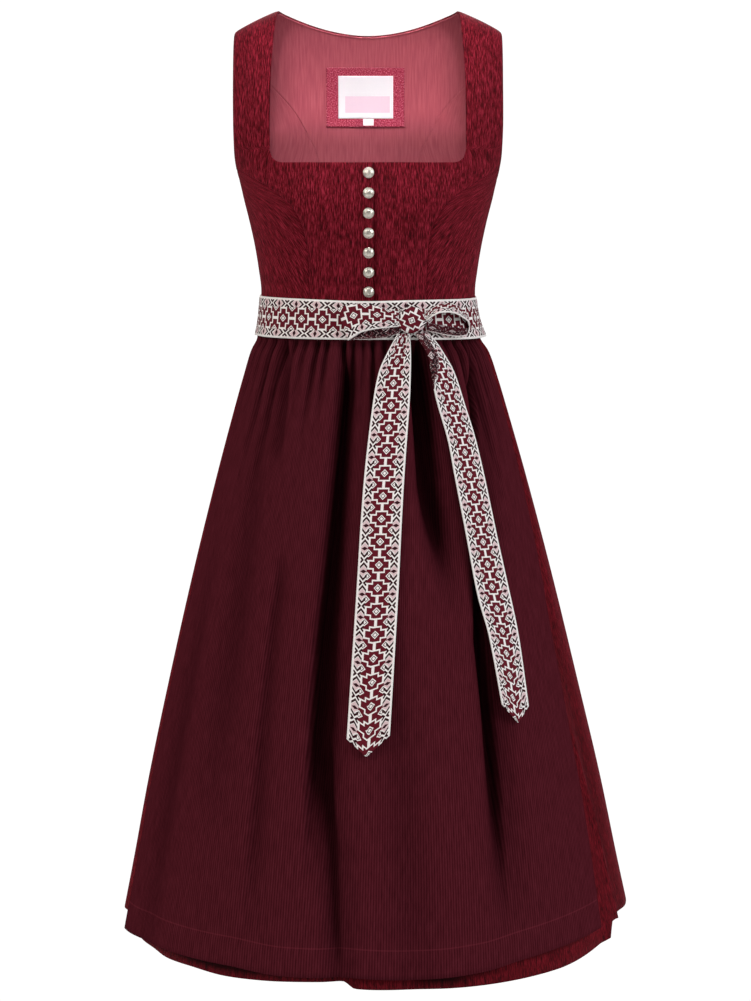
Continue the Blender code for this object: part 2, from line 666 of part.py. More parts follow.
def make_button(number):
    """A domed metal button that faces out of the left front."""
    height = BUTTON_TOP - BUTTON_PITCH * number
    degrees = angle_at(ring(BODY, height), BODY_POWER, BUTTON_X)
    seat = body_point(degrees, height)
    outward = outward_from(body_point, degrees, height)
    dome = bmesh.new()
    verts = [dome.verts.new((share * BUTTON_RADIUS, 0.0, rise)) for share, rise in BUTTON_PROFILE]
    edges = [dome.edges.new(pair) for pair in zip(verts, verts[1:])]
    bmesh.ops.spin(
        dome, geom=verts + edges, axis=(0, 0, 1), angle=math.tau, steps=BUTTON_SIDES, use_merge=True,
    )
    bmesh.ops.remove_doubles(dome, verts=dome.verts[:], dist=0.00001)
    turn = Vector((0, 0, 1)).rotation_difference(outward).to_matrix().to_4x4()
    place = Matrix.Translation(seat + outward * BUTTON_SEAT) @ turn
    bmesh.ops.transform(dome, matrix=place, verts=dome.verts[:])
    return finish("button_%d" % (number + 1), dome, SILVER, 0.35, 1.0)


def column_angles(gathers, first, last):
    """Angles of the columns: one on each valley, and three on the ridge after it."""
    valleys = [row.angle for row in gathers]
    stops = [first] + valleys + [last]
    angles = []
    for here, after in zip(stops, stops[1:]):
        angles += [mix(here, after, quarter / 4.0) for quarter in range(4)]
    return angles + [last]


def make_skirt(name, angles, coarse):
    """One of the skirt's two panels, between the side seams."""
    rows = len(SKIRT_ROWS) - 1

    def place(column, row, layer):
        degrees = angles[column]
        turn = degrees if degrees <= 270.0 else degrees - 360.0
        hem = read(SKIRT_HEM, turn)
        height = mix(WAIST - SEAM_GAP, hem, SKIRT_ROWS[rows - row])
        return skirt_point(degrees, height) - sideways(degrees) * SKIRT_CLOTH * layer

    return cloth_wall(name, len(angles) - 1, rows, place, SKIRT_RED, coarse_below=coarse)


def make_apron():
    """The apron, gathered into its ribbon band."""
    rows = len(SKIRT_ROWS) - 1
    first, last = apron_angles(APRON_TOP)
    angles = column_angles(APRON_GATHERS, first, last)

    def place(column, row, layer):
        share = (angles[column] - first) / (last - first)
        height = mix(APRON_TOP, read(APRON_HEM, share), SKIRT_ROWS[rows - row])
        left, right = apron_angles(height)
        degrees = mix(left, right, share)
        return apron_point(degrees, height) - sideways(degrees) * APRON_CLOTH * layer

    return cloth_wall("apron", len(angles) - 1, rows, place, APRON_BURGUNDY, coarse_below=rows - FINE_ROWS)


def make_belt():
    """The ribbon band round the waist, which meets itself behind the knot."""
    def place(column, row, layer):
        round_share = column / BELT_COLUMNS
        degrees = BELT_JOIN + mix(BELT_JOIN_HALF, 360.0 - BELT_JOIN_HALF, round_share)
        height = mix(BELT_BOTTOM, BELT_TOP, row / BELT_ROWS)
        return belt_point(degrees, height) + sideways(degrees) * RIBBON_CLOTH * layer

    return cloth_wall("belt_band", BELT_COLUMNS, BELT_ROWS, place, RIBBON_MIXED)


def front_of_belt(x, height):
    """How far forward the belt's face lies at a distance from the centre."""
    degrees = angle_at(ring(BODY, height), BODY_POWER, x)
    return belt_point(degrees, height).y - RIBBON_CLOTH


def front_of_skirt(x, height):
    """How far forward the apron's outer limit lies at a distance from the centre."""
    sizes = ring(SKIRT, height)
    return on_ring(sizes, SKIRT_POWER, angle_at(sizes, SKIRT_POWER, x))[1]


def ribbon_wall(name, columns, rows, spot):
    """A wall of ribbon about a surface spot(across, along), both from 0 to 1."""
    def place(column, row, layer):
        across, along = column / columns, row / rows
        crosswise = spot(across + RIBBON_PROBE, along) - spot(across - RIBBON_PROBE, along)
        lengthwise = spot(across, along + RIBBON_PROBE) - spot(across, along - RIBBON_PROBE)
        outward = crosswise.cross(lengthwise).normalized()
        return spot(across, along) + outward * RIBBON_CLOTH * (0.5 - layer)

    return cloth_wall(name, columns, rows, place, RIBBON_MIXED)


def make_tail(name, table, point_at):
    """A ribbon tail that hangs from the knot down the apron to a folded point."""
    rows = table[::-1]

    def spot(across, along):
        low = rows[0].height
        height = mix(low, rows[-1].height, along)
        x = read(rows, height, "x", "height")
        width = read(rows, height, "width", "height")
        turn = math.radians(read(rows, height, "turn", "height"))
        lift = read(rows, height, "lift", "height")
        tip = TAIL_POINT * (1.0 - abs(across - point_at) / max(point_at, 1.0 - point_at))
        drop = tip * (1.0 - along) ** TAIL_POINT_POWER
        aside = (across - 0.5) * width
        crease = TAIL_CREASE * math.cos(math.tau * across)
        x += aside * math.cos(turn)
        height -= drop
        return Vector((x, front_of_skirt(x, height) - lift - crease + aside * math.sin(turn), height))

    return ribbon_wall(name, TAIL_COLUMNS, TAIL_ROWS, spot)


def make_loop(name, table):
    """A ribbon loop, out from the knot over its own fold and back behind itself."""
    def spot(across, along):
        along = min(max(along, 0.0), 1.0)
        x = mix(read(table, along, "x_low"), read(table, along, "x_top"), across)
        z = mix(read(table, along, "z_low"), read(table, along, "z_top"), across)
        return Vector((x, front_of_belt(x, z) - read(table, along, "lift"), z))

    return ribbon_wall(name, LOOP_COLUMNS, LOOP_ROWS, spot)


def make_knot():
    """The wrapped knot: a rounded, pulled-in block of folded ribbon."""
    knot = bmesh.new()
    bmesh.ops.create_cube(knot, size=1.0)
    bmesh.ops.subdivide_edges(knot, edges=knot.edges[:], cuts=3, use_grid_fill=True)
    for vert in knot.verts:
        across, deep, up = vert.co * 2.0
        x = mix(KNOT_LEFT, KNOT_RIGHT, across / 2.0 + 0.5)
        pinch = 1.0 - KNOT_PINCH * across * across
        z = mix(KNOT_LOW, KNOT_TOP, up * pinch / 2.0 + 0.5)
        swell = math.sqrt((1.0 - KNOT_ROUND * across ** 2) * (1.0 - KNOT_ROUND * up ** 2))
        forward = KNOT_SEAT + KNOT_DEPTH * swell * (0.5 - deep / 2.0)
        vert.co = (x, front_of_belt(x, z) - forward, z)
    return finish("bow_knot", knot, RIBBON_MIXED, 0.8)


def clear_scene():
    for piece in list(bpy.data.objects):
        bpy.data.objects.remove(piece, do_unlink=True)


def main():
    clear_scene()
    sides = (("left", -1), ("right", 1))
    lining_outside = -BODICE_CLOTH - LINING_GAP
    patch_depth = BODICE_CLOTH + LINING_CLOTH + 2.0 * LINING_GAP
    label_depth = patch_depth + LABEL_CLOTH + SEAM_GAP
    for word, side in sides:
        make_front("bodice_front_" + word, side)
        make_side_front("bodice_side_front_" + word, side)
        make_side_back("bodice_side_back_" + word, side, 0.0, BODICE_CLOTH, VELOUR_RED)
        make_side_back("lining_side_back_" + word, side, lining_outside, LINING_CLOTH, LINING_ROSE)
    make_back("bodice_back", 0.0, BODICE_CLOTH, VELOUR_RED)
    make_back("lining_back", lining_outside, LINING_CLOTH, LINING_ROSE)
    inside_back("label_patch", PATCH_BOX, patch_depth, PATCH_RED, columns=8, rows=4)
    inside_back("label", LABEL_BOX, label_depth, LABEL_WHITE, columns=6, rows=3)
    inside_back("size_tab", TAB_BOX, label_depth, LABEL_WHITE, columns=1, rows=1)
    for number in range(BUTTON_COUNT):
        make_button(number)
    front_angles = [-90.0 + FRONT_COLUMN_STEP * number for number in range(FRONT_SKIRT_COLUMNS + 1)]
    front_angles[0] += SIDE_SEAM_HALF
    front_angles[-1] -= SIDE_SEAM_HALF
    make_skirt("skirt_front", front_angles, None)
    back_angles = column_angles(BACK_GATHERS, 90.0 + SIDE_SEAM_HALF, 270.0 - SIDE_SEAM_HALF)
    make_skirt("skirt_back", back_angles, len(SKIRT_ROWS) - 1 - FINE_ROWS)
    make_apron()
    make_belt()
    make_knot()
    make_loop("bow_loop_left", LEFT_LOOP)
    make_loop("bow_loop_right", RIGHT_LOOP)
    make_tail("bow_tail_left", LEFT_TAIL, LEFT_TAIL_TIP)
    make_tail("bow_tail_right", RIGHT_TAIL, RIGHT_TAIL_TIP)


main()
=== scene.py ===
"""Looks for the dirndl: each cut piece as fine cloth on its solid, with its finish, light and camera.

The frame is the part's: the front faces -Y, +X is to the viewer's right, +Z is up, all in metres.
An angle goes round from the front (0) over the right side (90) to the back (180).
"""

import math

import bmesh
import bpy
import numpy as np
from mathutils import Matrix, Vector


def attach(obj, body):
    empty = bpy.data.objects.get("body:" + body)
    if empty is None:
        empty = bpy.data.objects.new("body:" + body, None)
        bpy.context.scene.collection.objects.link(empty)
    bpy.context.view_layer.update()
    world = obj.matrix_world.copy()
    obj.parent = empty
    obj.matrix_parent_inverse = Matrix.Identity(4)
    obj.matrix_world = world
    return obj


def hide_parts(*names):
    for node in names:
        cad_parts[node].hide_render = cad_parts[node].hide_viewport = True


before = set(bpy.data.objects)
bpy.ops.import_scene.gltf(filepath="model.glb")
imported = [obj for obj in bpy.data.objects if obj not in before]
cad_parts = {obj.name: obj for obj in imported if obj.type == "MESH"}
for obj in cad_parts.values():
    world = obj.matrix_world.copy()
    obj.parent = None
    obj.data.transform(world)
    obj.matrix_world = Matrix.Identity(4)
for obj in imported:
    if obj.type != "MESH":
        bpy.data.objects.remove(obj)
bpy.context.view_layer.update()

# Cloth, as the solids have it. The lining lies a gap further in and starts a little higher.
BODICE_CLOTH = 0.0020
LINING_CLOTH = 0.0010
LINING_GAP = 0.0008
LINING_SHORT = 0.0010
LABEL_CLOTH = 0.0010
SKIRT_CLOTH = 0.0015
APRON_CLOTH = 0.0015
RIBBON_CLOTH = 0.0013

# Seams. Both halves are a hair below zero, the side seam's in degrees, so that no light shows between panels.
SEAM_GAP = 0.0003
SEAM_HALF = -0.0001
SIDE_SEAM_HALF = -0.02

# Heights
WAIST = -0.340
UNDERARM = -0.179
BUST_SEAM_END = -0.168
BACK_SEAM_END = -0.046
CHEST = -0.120
OVER_SHOULDER = 0.160
STRAP_TOP = 0.040
NECKLINE = -0.160
NECK_CORNER = 0.013
BELT_TOP = -0.3040
BELT_BOTTOM = -0.3470
APRON_TOP = -0.3435

# Shoulder line and neck. The back's columns are parted at NECK_STEP into those of its neck and its straps,
# and the strap of a front starts at STRAP_SHARE of its width. The back widens up its straps by BACK_SPREAD.
SHOULDER_MIDDLE = 0.022
SHOULDER_FALL = 0.042
STRAP_TIP = 0.145
NECK_POINT = 0.097
BACK_NECK_DEPTH = 0.080
NECK_STEP = 0.70
STRAP_SHARE = 0.7386
BACK_SPREAD = 0.2

# Soft rises of the bodice: how far out, distance from the centre and its reach, height and its reach
BUST = (0.009, 0.070, 0.042, -0.200, 0.038)
FRONT_CREASE = (0.0012, 0.0494, 0.005, -0.232, 0.026)
BACK_CREASE = (-0.0006, 0.020, 0.006, -0.24, 0.06)

# How squared off the rings are: 2 is an ellipse
BODY_POWER = 2.25
SKIRT_POWER = 2.10

# Radius on which the back's grain is laid out
BACK_RADIUS = 0.140

# Button row and the lap of the left front over the right one
BUTTON_COUNT = 7
BUTTON_TOP = -0.1712
BUTTON_PITCH = 0.0209
BUTTON_X = 0.0008
BUTTON_RADIUS = 0.0058
LAP_EDGE = 0.0058
LAP_UNDER = -0.008
LAP_STEP = 0.0025
LAP_STEP_END = 0.0105
LAP_STEP_WIDTH = 0.0035

# Rings of the body and the skirt: height, half width, front depth, back depth, sideways shift
BODY = (
    (-0.353, 0.1202, 0.0976, 0.0906, 0.0), (-0.325, 0.1178, 0.0956, 0.0886, 0.0),
    (-0.3, 0.1172, 0.0955, 0.089, 0.0), (-0.275, 0.12, 0.0985, 0.0925, 0.0),
    (-0.25, 0.124, 0.1025, 0.0965, 0.0), (-0.225, 0.1293, 0.1065, 0.1, 0.0),
    (-0.2, 0.1355, 0.109, 0.103, 0.0), (-0.179, 0.1405, 0.109, 0.1045, 0.0),
    (-0.165, 0.146, 0.108, 0.105, 0.0), (-0.15, 0.152, 0.107, 0.1053, 0.0),
    (-0.135, 0.158, 0.1052, 0.1053, 0.0), (-0.12, 0.163, 0.103, 0.105, 0.0),
)
SKIRT = (
    (-1.012, 0.288, 0.264, 0.256, 0.009), (-0.929, 0.2705, 0.251, 0.243, 0.008),
    (-0.842, 0.253, 0.234, 0.227, 0.007), (-0.728, 0.227, 0.208, 0.2015, 0.0055),
    (-0.615, 0.2, 0.18, 0.1745, 0.0045), (-0.503, 0.171, 0.15, 0.1455, 0.0035),
    (-0.42, 0.148, 0.1255, 0.1215, 0.0025), (-0.392, 0.14, 0.117, 0.1125, 0.002),
    (-0.365, 0.1315, 0.1085, 0.102, 0.001), (-0.3525, 0.124, 0.1012, 0.094, 0.0),
    (-0.34, 0.119, 0.0967, 0.0897, 0.0),
)

# Seams and edges: height, then distance from the centre
BUST_SEAM = (
    (-0.34, 0.062), (-0.294, 0.0625), (-0.26, 0.0635), (-0.236, 0.067), (-0.222, 0.0715), (-0.208, 0.0795),
    (-0.194, 0.095), (-0.179, 0.119), (-0.168, 0.14),
)
BACK_SEAM = (
    (-0.34, 0.044), (-0.25, 0.047), (-0.19, 0.05), (-0.157, 0.057), (-0.116, 0.077), (-0.085, 0.105),
    (-0.06, 0.13), (-0.046, 0.142),
)
ARMHOLE = (
    (-0.179, 0.14), (-0.174, 0.1415), (-0.168, 0.1427), (-0.15, 0.1446), (-0.12, 0.145), (0.0, 0.145),
    (0.03, 0.144), (0.04, 0.142),
)
STRAP_INNER = ((-0.160, 0.1050), (-0.090, 0.1040), (-0.030, 0.1010), (0.040, NECK_POINT))

# Gathers at the waist: angle of the valley, depth, length
APRON_GATHERS = (
    (-75, 0.004, 0.07), (-68, 0.0035, 0.06), (-60, 0.0055, 0.11), (-52, 0.005, 0.12), (-45, 0.003, 0.05),
    (-38, 0.003, 0.06), (-31, 0.0045, 0.08), (-25, 0.004, 0.07), (-15, 0.006, 0.13), (-9, 0.004, 0.08),
    (-3, 0.003, 0.06), (3, 0.0045, 0.09), (11, 0.003, 0.06), (18, 0.0035, 0.07), (25, 0.0055, 0.13),
    (32, 0.006, 0.13), (40, 0.004, 0.08), (48, 0.0035, 0.07), (55, 0.005, 0.09), (62, 0.006, 0.12),
    (68, 0.005, 0.1), (74, 0.0045, 0.07),
)
BACK_GATHERS = tuple(
    (
        92.0 + 8.8 * (number + 0.5 + math.sin(number * 2.4) * 0.22),
        0.0050 * (1.0 + 0.3 * math.sin(number * 1.7)),
        0.100 * (1.0 + 0.35 * math.sin(number * 3.1 + 1.0)),
    )
    for number in range(20)
)
GATHER_WIDTH = 1.6
GATHER_START = 0.010
GATHER_RISE = 0.004
GATHER_PULL = 2.0

# Long folds: top, bottom, angle at the top, middle and bottom, width, depth
FOLDS = (
    (-0.36, -0.93, -14.0, -14.8, -12.5, 4.2, 0.008), (-0.355, -0.64, 29.0, 24.5, 28.0, 4.5, 0.0085),
    (-0.36, -0.96, 62.0, 38.5, 34.0, 4.0, 0.009), (-0.83, -1.06, -9.0, -8.0, -7.0, 3.6, 0.005),
    (-0.4, -0.86, -52.0, -47.0, -45.0, 5.5, 0.006), (-0.64, -1.06, 6.0, 8.0, 10.0, 5.5, 0.005),
    (-0.62, -1.06, 72.0, 73.0, 75.0, 4.0, 0.008), (-0.55, -1.06, -66.0, -64.0, -62.0, 5.0, 0.006),
    (-0.36, -1.06, 104.0, 107.0, 110.0, 5.0, 0.011), (-0.5, -1.06, 124.0, 128.0, 130.0, 4.5, 0.009),
    (-0.36, -0.94, 141.0, 145.0, 148.0, 5.0, 0.01), (-0.42, -1.06, 160.0, 164.0, 165.0, 4.5, 0.009),
    (-0.36, -1.06, 180.0, 182.0, 185.0, 5.5, 0.011), (-0.45, -1.06, 204.0, 205.0, 204.0, 4.5, 0.0095),
    (-0.36, -0.9, 222.0, 224.0, 223.0, 5.0, 0.01), (-0.52, -1.06, 238.0, 241.0, 243.0, 4.5, 0.0085),
    (-0.36, -1.06, 256.0, 258.0, 260.0, 5.0, 0.01),
)
FOLD_END_POWER = 0.7

# Sharper creases: depth, reach to the left and to the right in degrees, then height and angle down the path
CREASES = (
    (0.019, 0.8, 6.5, (
        (-0.35, -13.0), (-0.375, -14.0), (-0.43, -15.0), (-0.522, -16.0), (-0.66, -17.8), (-0.795, -17.6),
        (-0.92, -16.2),
    )),
    (0.008, 2.6, 1.0, ((-0.76, -13.5), (-0.862, -10.4), (-1.03, -8.4))),
    (0.017, 4.0, 5.5, ((-0.346, 27.0), (-0.41, 25.6), (-0.5, 23.8), (-0.61, 26.5))),
    (0.017, 3.2, 1.0, (
        (-0.35, 67.0), (-0.4, 58.0), (-0.51, 44.7), (-0.66, 36.9), (-0.732, 36.0), (-0.89, 32.4),
        (-0.985, 31.0),
    )),
    (0.007, 3.4, 2.6, ((-0.35, -50.5), (-0.41, -44.5), (-0.5, -41.0))),
    (0.006, 1.6, 3.0, ((-0.56, -33.0), (-0.76, -32.0), (-0.99, -30.0))),
    (0.0075, 1.2, 3.6, ((-0.347, 97.0), (-0.6, 98.0), (-0.94, 99.0))),
    (0.011, 3.4, 1.1, ((-0.38, 117.0), (-0.62, 116.0), (-1.03, 119.0))),
    (0.012, 1.0, 3.8, ((-0.347, 134.0), (-0.56, 136.0), (-0.86, 138.0))),
    (0.011, 3.0, 1.1, ((-0.35, 152.0), (-0.66, 155.0), (-1.03, 156.0))),
    (0.012, 1.1, 3.2, ((-0.347, 171.0), (-0.54, 173.0), (-0.83, 173.5))),
    (0.011, 3.6, 1.1, ((-0.347, 192.0), (-0.62, 191.0), (-1.03, 194.0))),
    (0.011, 1.1, 3.4, ((-0.36, 212.0), (-0.64, 214.0), (-0.96, 215.0))),
    (0.012, 3.0, 1.0, ((-0.347, 231.0), (-0.56, 232.0), (-0.9, 234.0))),
    (0.01, 1.2, 3.2, ((-0.347, 250.0), (-0.6, 250.0), (-1.03, 251.0))),
)
# Shares of a crease over which it starts and ends, and the depth of a fold at which its painted shade is
# darkest
CREASE_START = 0.10
CREASE_END = 0.35
FOLD_SHADE_DEEP = 0.016

# Hems: height by angle for the skirt, and by share of the width for the apron
SKIRT_HEM = (
    (-100, -0.988), (-90, -0.987), (-82, -0.988), (-74, -0.992), (-71, -1.001), (-62, -1.005),
    (-54, -1.007), (-48, -1.007), (-37, -1.009), (-28, -1.008), (-8, -1.004), (-5, -1.011), (20, -1.012),
    (45, -1.009), (60, -1.001), (66, -0.996), (67, -0.98), (70, -0.979), (80, -0.979), (90, -0.98),
    (130, -0.99), (180, -0.991), (230, -0.99), (270, -0.987), (280, -0.99),
)
APRON_HEM = (
    (0.0, -1.0), (0.08, -0.996), (0.2, -0.994), (0.3, -0.994), (0.4, -0.998), (0.52, -0.997),
    (0.63, -0.999), (0.74, -0.995), (0.81, -0.988), (0.93, -0.981), (1.0, -0.978),
)
# Edges of the apron by height, how far in the skirt lies under it, and how that fades past its edges
APRON_LEFT = ((-1.010, -77.0), (-0.700, -78.5), (-0.343, -81.0))
APRON_RIGHT = ((-1.010, 60.0), (-0.700, 66.0), (-0.500, 74.0), (-0.343, 80.0))
UNDER_APRON = (
    (-1.01, 0.0105), (-0.93, 0.008), (-0.6, 0.007), (-0.503, 0.0095), (-0.42, 0.014), (-0.392, 0.016),
    (-0.365, 0.0165), (-0.3525, 0.0145), (-0.3475, 0.01), (-0.3435, 0.004), (-0.34, 0.0),
)
COVER_REACH = 8.0
COVER_FADE = 6.0

# How far the belt stands off the body, by height, and the angle of its join
BELT_STAND = ((BELT_BOTTOM, 0.0040), (-0.338, 0.0028), (BELT_TOP, 0.0008))
BELT_JOIN = 24.0
JOIN_HALF = 0.1

# Tails of the bow: height, x, width, turn, lift
LEFT_TAIL = (
    (-0.75, 0.0005, 0.045, -3, 0.004), (-0.613, 0.0095, 0.044, -2, 0.004), (-0.5, 0.0163, 0.0426, 0, 0.004),
    (-0.409, 0.025, 0.0388, 3, 0.005), (-0.38, 0.0285, 0.0342, 6, 0.006), (-0.36, 0.033, 0.0255, 8, 0.008),
    (-0.3406, 0.038, 0.013, 0, 0.0082),
)
RIGHT_TAIL = (
    (-0.725, 0.156, 0.03, 12, 0.0055), (-0.653, 0.1435, 0.0325, 8, 0.0055),
    (-0.612, 0.1332, 0.035, 6, 0.0055), (-0.5515, 0.1206, 0.033, 7, 0.0058),
    (-0.4893, 0.1079, 0.032, 9, 0.0062), (-0.4521, 0.0999, 0.0305, 13, 0.007),
    (-0.409, 0.087, 0.03, 18, 0.008), (-0.38, 0.0795, 0.0285, 34, 0.011), (-0.36, 0.0715, 0.025, 48, 0.012),
    (-0.3406, 0.058, 0.014, 20, 0.0084),
)
TAIL_POINT = 0.022
TAIL_POINT_POWER = 6
LEFT_TAIL_TIP = 0.45
RIGHT_TAIL_TIP = 0.60

# Pressed pleat of the left tail: height and its reach, depth, place across and its reach
LEFT_PLEAT = (-0.360, 0.016, 0.0032, 0.62, 0.07)
# How much of the right tail's width is rolled forward, by height
RIGHT_ROLL = ((-0.400, 0.0), (-0.388, 0.08), (-0.375, 0.24), (-0.360, 0.34), (-0.345, 0.34), (-0.340, 0.26))

# Loops: place along the ribbon, then x, z and lift of its low or front edge and of its top or back edge
LEFT_LOOP = (
    (0.0, 0.033, -0.333, 0.0056, 0.033, -0.317, 0.0056),
    (0.12, 0.0235, -0.3338, 0.0082, 0.023, -0.315, 0.0082),
    (0.25, 0.01, -0.3352, 0.0088, 0.011, -0.3115, 0.0088),
    (0.38, -0.006, -0.3385, 0.008, -0.009, -0.3082, 0.008),
    (0.46, -0.018, -0.3455, 0.0068, -0.029, -0.3115, 0.0068),
    (0.5, -0.0215, -0.3475, 0.005, -0.0325, -0.313, 0.005),
    (0.54, -0.018, -0.347, 0.0031, -0.029, -0.3135, 0.0031),
    (0.75, 0.014, -0.345, 0.0028, 0.013, -0.315, 0.0028), (1.0, 0.033, -0.34, 0.003, 0.033, -0.317, 0.003),
)
RIGHT_LOOP = (
    (0.0, 0.061, -0.3275, 0.006, 0.061, -0.319, 0.004), (0.1, 0.07, -0.321, 0.013, 0.07, -0.313, 0.0045),
    (0.18, 0.0765, -0.3181, 0.0165, 0.0775, -0.31, 0.0045),
    (0.26, 0.0837, -0.3178, 0.0185, 0.085, -0.309, 0.0045),
    (0.34, 0.0922, -0.3191, 0.0195, 0.0945, -0.3118, 0.0045),
    (0.44, 0.1017, -0.3242, 0.0195, 0.104, -0.319, 0.004),
    (0.52, 0.108, -0.3295, 0.019, 0.109, -0.326, 0.004),
    (0.58, 0.1098, -0.3359, 0.0185, 0.1095, -0.331, 0.0035),
    (0.64, 0.108, -0.3417, 0.018, 0.107, -0.335, 0.003),
    (0.7, 0.1038, -0.3447, 0.0175, 0.102, -0.3365, 0.0028),
    (0.8, 0.0954, -0.3451, 0.016, 0.094, -0.3365, 0.0028),
    (0.9, 0.0869, -0.3439, 0.011, 0.085, -0.335, 0.0028), (1.0, 0.062, -0.338, 0.005, 0.062, -0.33, 0.003),
)
KNOT_LEFT = 0.0305
KNOT_RIGHT = 0.0625
KNOT_TOP = -0.3128
KNOT_LOW = -0.3403
KNOT_DEPTH = 0.0085
KNOT_SEAT = 0.0016
KNOT_ROUND = 0.80
# How much narrower the knot is at its top and foot, and how it is pinched towards its sides
KNOT_NARROW = 0.22
KNOT_PINCH = (0.12, 0.26)
# Width and height over which the ribbon's pattern lies on the knot, and how it is turned there
KNOT_CLOTH = (0.032, 0.028)
KNOT_TURN = (0.9, 0.45)
# Pleats pressed into the knot, in shares of half its size: depth in metres, height at its left, slope
KNOT_PLEAT_LEFT = -1.1
KNOT_PLEAT_WIDE = 0.13
KNOT_PLEATS = ((0.0016, 0.12, 0.34), (0.0018, -0.05, -0.10), (0.0014, -0.22, -0.42))

# Patch, label and size tab inside the back: left, right, top and low edge
PATCH_BOX = (-0.0480, 0.0410, -0.0525, -0.1200)
LABEL_BOX = (-0.0345, 0.0283, -0.0615, -0.1102)
TAB_BOX = (-0.0060, 0.0060, -0.1106, -0.1184)

# Real sizes of the patterns, in metres
SLUB_WIDE = 0.0011
SLUB_LONG = 0.010
CORD_RIB = 0.0029
CORD_LONG = 0.02
LINING_THREAD = 0.0011
RIBBON_WIDE = 0.045
RIBBON_REPEAT = 0.0243
YARN_WIDE = 0.0010
YARN_LONG = 0.0018
APRON_HEM_DEEP = 0.030
HEM_STITCH = 0.0007

# Cut of each piece before it was sewn: width and length in metres, the share of that rectangle which
# the cut fills, how it is held and what carries it. The loops' ribbon is folded lengthwise.
CUTS = {
    "bodice_back": (0.290, 0.400, 0.49, "hung", ["bodice_front_left", "bodice_front_right"]),
    "lining_back": (0.290, 0.400, 0.48, "hung", ["bodice_back"]),
    "label_patch": (0.0890, 0.0675, 1.0, "laid", ["lining_back"]),
    "label": (0.0628, 0.0487, 1.0, "laid", ["label_patch"]),
    "size_tab": (0.012, 0.010, 1.0, "laid", ["label_patch"]),
    "skirt_front": (0.870, 0.670, 0.79, "gathered", ["belt_band"]),
    "skirt_back": (0.870, 0.670, 0.79, "gathered", ["belt_band"]),
    "apron": (0.660, 0.660, 0.83, "gathered", ["belt_band"]),
    "belt_band": (0.700, RIBBON_WIDE, 1.0, "stretched", ["bodice_back"]),
    "bow_loop_left": (0.135, 0.036, 1.0, "folded", ["bow_knot"]),
    "bow_loop_right": (0.105, 0.0225, 1.0, "folded", ["bow_knot"]),
}
for word in ("left", "right"):
    CUTS["bodice_front_" + word] = (0.125, 0.350, 0.62, "hung", ["bodice_back"])
    CUTS["bodice_side_front_" + word] = (0.125, 0.175, 0.85, "hung", ["bodice_front_" + word])
    CUTS["bodice_side_back_" + word] = (0.125, 0.295, 0.85, "hung", ["bodice_back"])
    CUTS["lining_side_back_" + word] = (0.125, 0.295, 0.83, "hung", ["bodice_side_back_" + word])
    CUTS["bow_tail_" + word] = (0.420, RIBBON_WIDE, 1.0, "hung", ["bow_knot"])

# Steps for the slopes from which a surface's outward direction is found
HEIGHT_PROBE = 0.0005
ANGLE_PROBE = 0.1

# Pitches of the waves that make a ripple
RIPPLE_PITCHES = (0.61, 1.0, 1.57)


def curve(rows, at, column=1):
    """Read one column of a table at any places, with a smooth curve through its rows."""
    places = np.array([row[0] for row in rows], float)
    values = np.array([row[column] for row in rows], float)
    steps = np.diff(values) / np.diff(places)
    before = np.concatenate((steps[:1], steps))
    after = np.concatenate((steps, steps[-1:]))
    same_way = before * after > 0.0
    slopes = np.where(same_way, 2.0 * before * after / np.where(same_way, before + after, 1.0), 0.0)
    at = np.clip(at, places[0], places[-1])
    index = np.clip(np.searchsorted(places, at, side="right") - 1, 0, len(places) - 2)
    span = places[index + 1] - places[index]
    t = (at - places[index]) / span
    start = (2 * t ** 3 - 3 * t ** 2 + 1) * values[index] + (t ** 3 - 2 * t ** 2 + t) * span * slopes[index]
    end = (3 * t ** 2 - 2 * t ** 3) * values[index + 1] + (t ** 3 - t ** 2) * span * slopes[index + 1]
    return start + end


def mix(a, b, share):
    """The value at a share of the way from a to b."""
    return a + (b - a) * share


def soft_step(value):
    """A smooth rise from 0 to 1, level at both ends."""
    value = np.clip(value, 0.0, 1.0)
    return value * value * (3.0 - 2.0 * value)


def bell(value):
    """A smooth hump: 1 in the middle, about a third at a distance of 1."""
    return np.exp(-np.square(value))


def joined(*parts):
    """Coordinates put together as points."""
    return np.stack(parts, axis=-1)


def ripple(seed, along, waves):
    """A smooth uneven line between -1 and 1, the same on each run. The seed scatters where its waves start."""
    angle = np.asarray(along) * math.tau
    total = 0.0
    for pitch in RIPPLE_PITCHES:
        start = math.sin(seed * 12.9 + pitch * 7.3) * 9.0
        total = total + np.sin(angle * waves * pitch + start)
    return total / len(RIPPLE_PITCHES)


def half_turn(degrees):
    """An angle brought between -180 and 180."""
    return (degrees + 180.0) % 360.0 - 180.0


def ring(rows, height):
    """The half width, front depth, back depth and shift of a table's ring at a height."""
    return [curve(rows, height, column) for column in range(1, 5)]


def on_ring(sizes, power, degrees):
    """The place on a ring at an angle."""
    half_width, front, back, shift = sizes
    turn = np.radians(degrees)
    depth = np.where(np.cos(turn) > 0, front, back)
    across = np.abs(np.sin(turn) / half_width) ** power
    along = np.abs(np.cos(turn) / depth) ** power
    radius = (across + along) ** (-1.0 / power)
    return shift + radius * np.sin(turn), -radius * np.cos(turn)


def angle_at(sizes, power, x, behind=False):
    """The angle at which a ring crosses a distance x from the centre."""
    half_width, front, back, shift = sizes
    share = np.minimum(np.abs(x - shift) / half_width, 1.0)
    depth = (back if behind else front) * (1.0 - share ** power) ** (1.0 / power)
    degrees = np.degrees(np.arctan2(np.abs(x - shift), depth))
    if behind:
        degrees = 180.0 - degrees
    return np.where(x >= shift, degrees, -degrees)


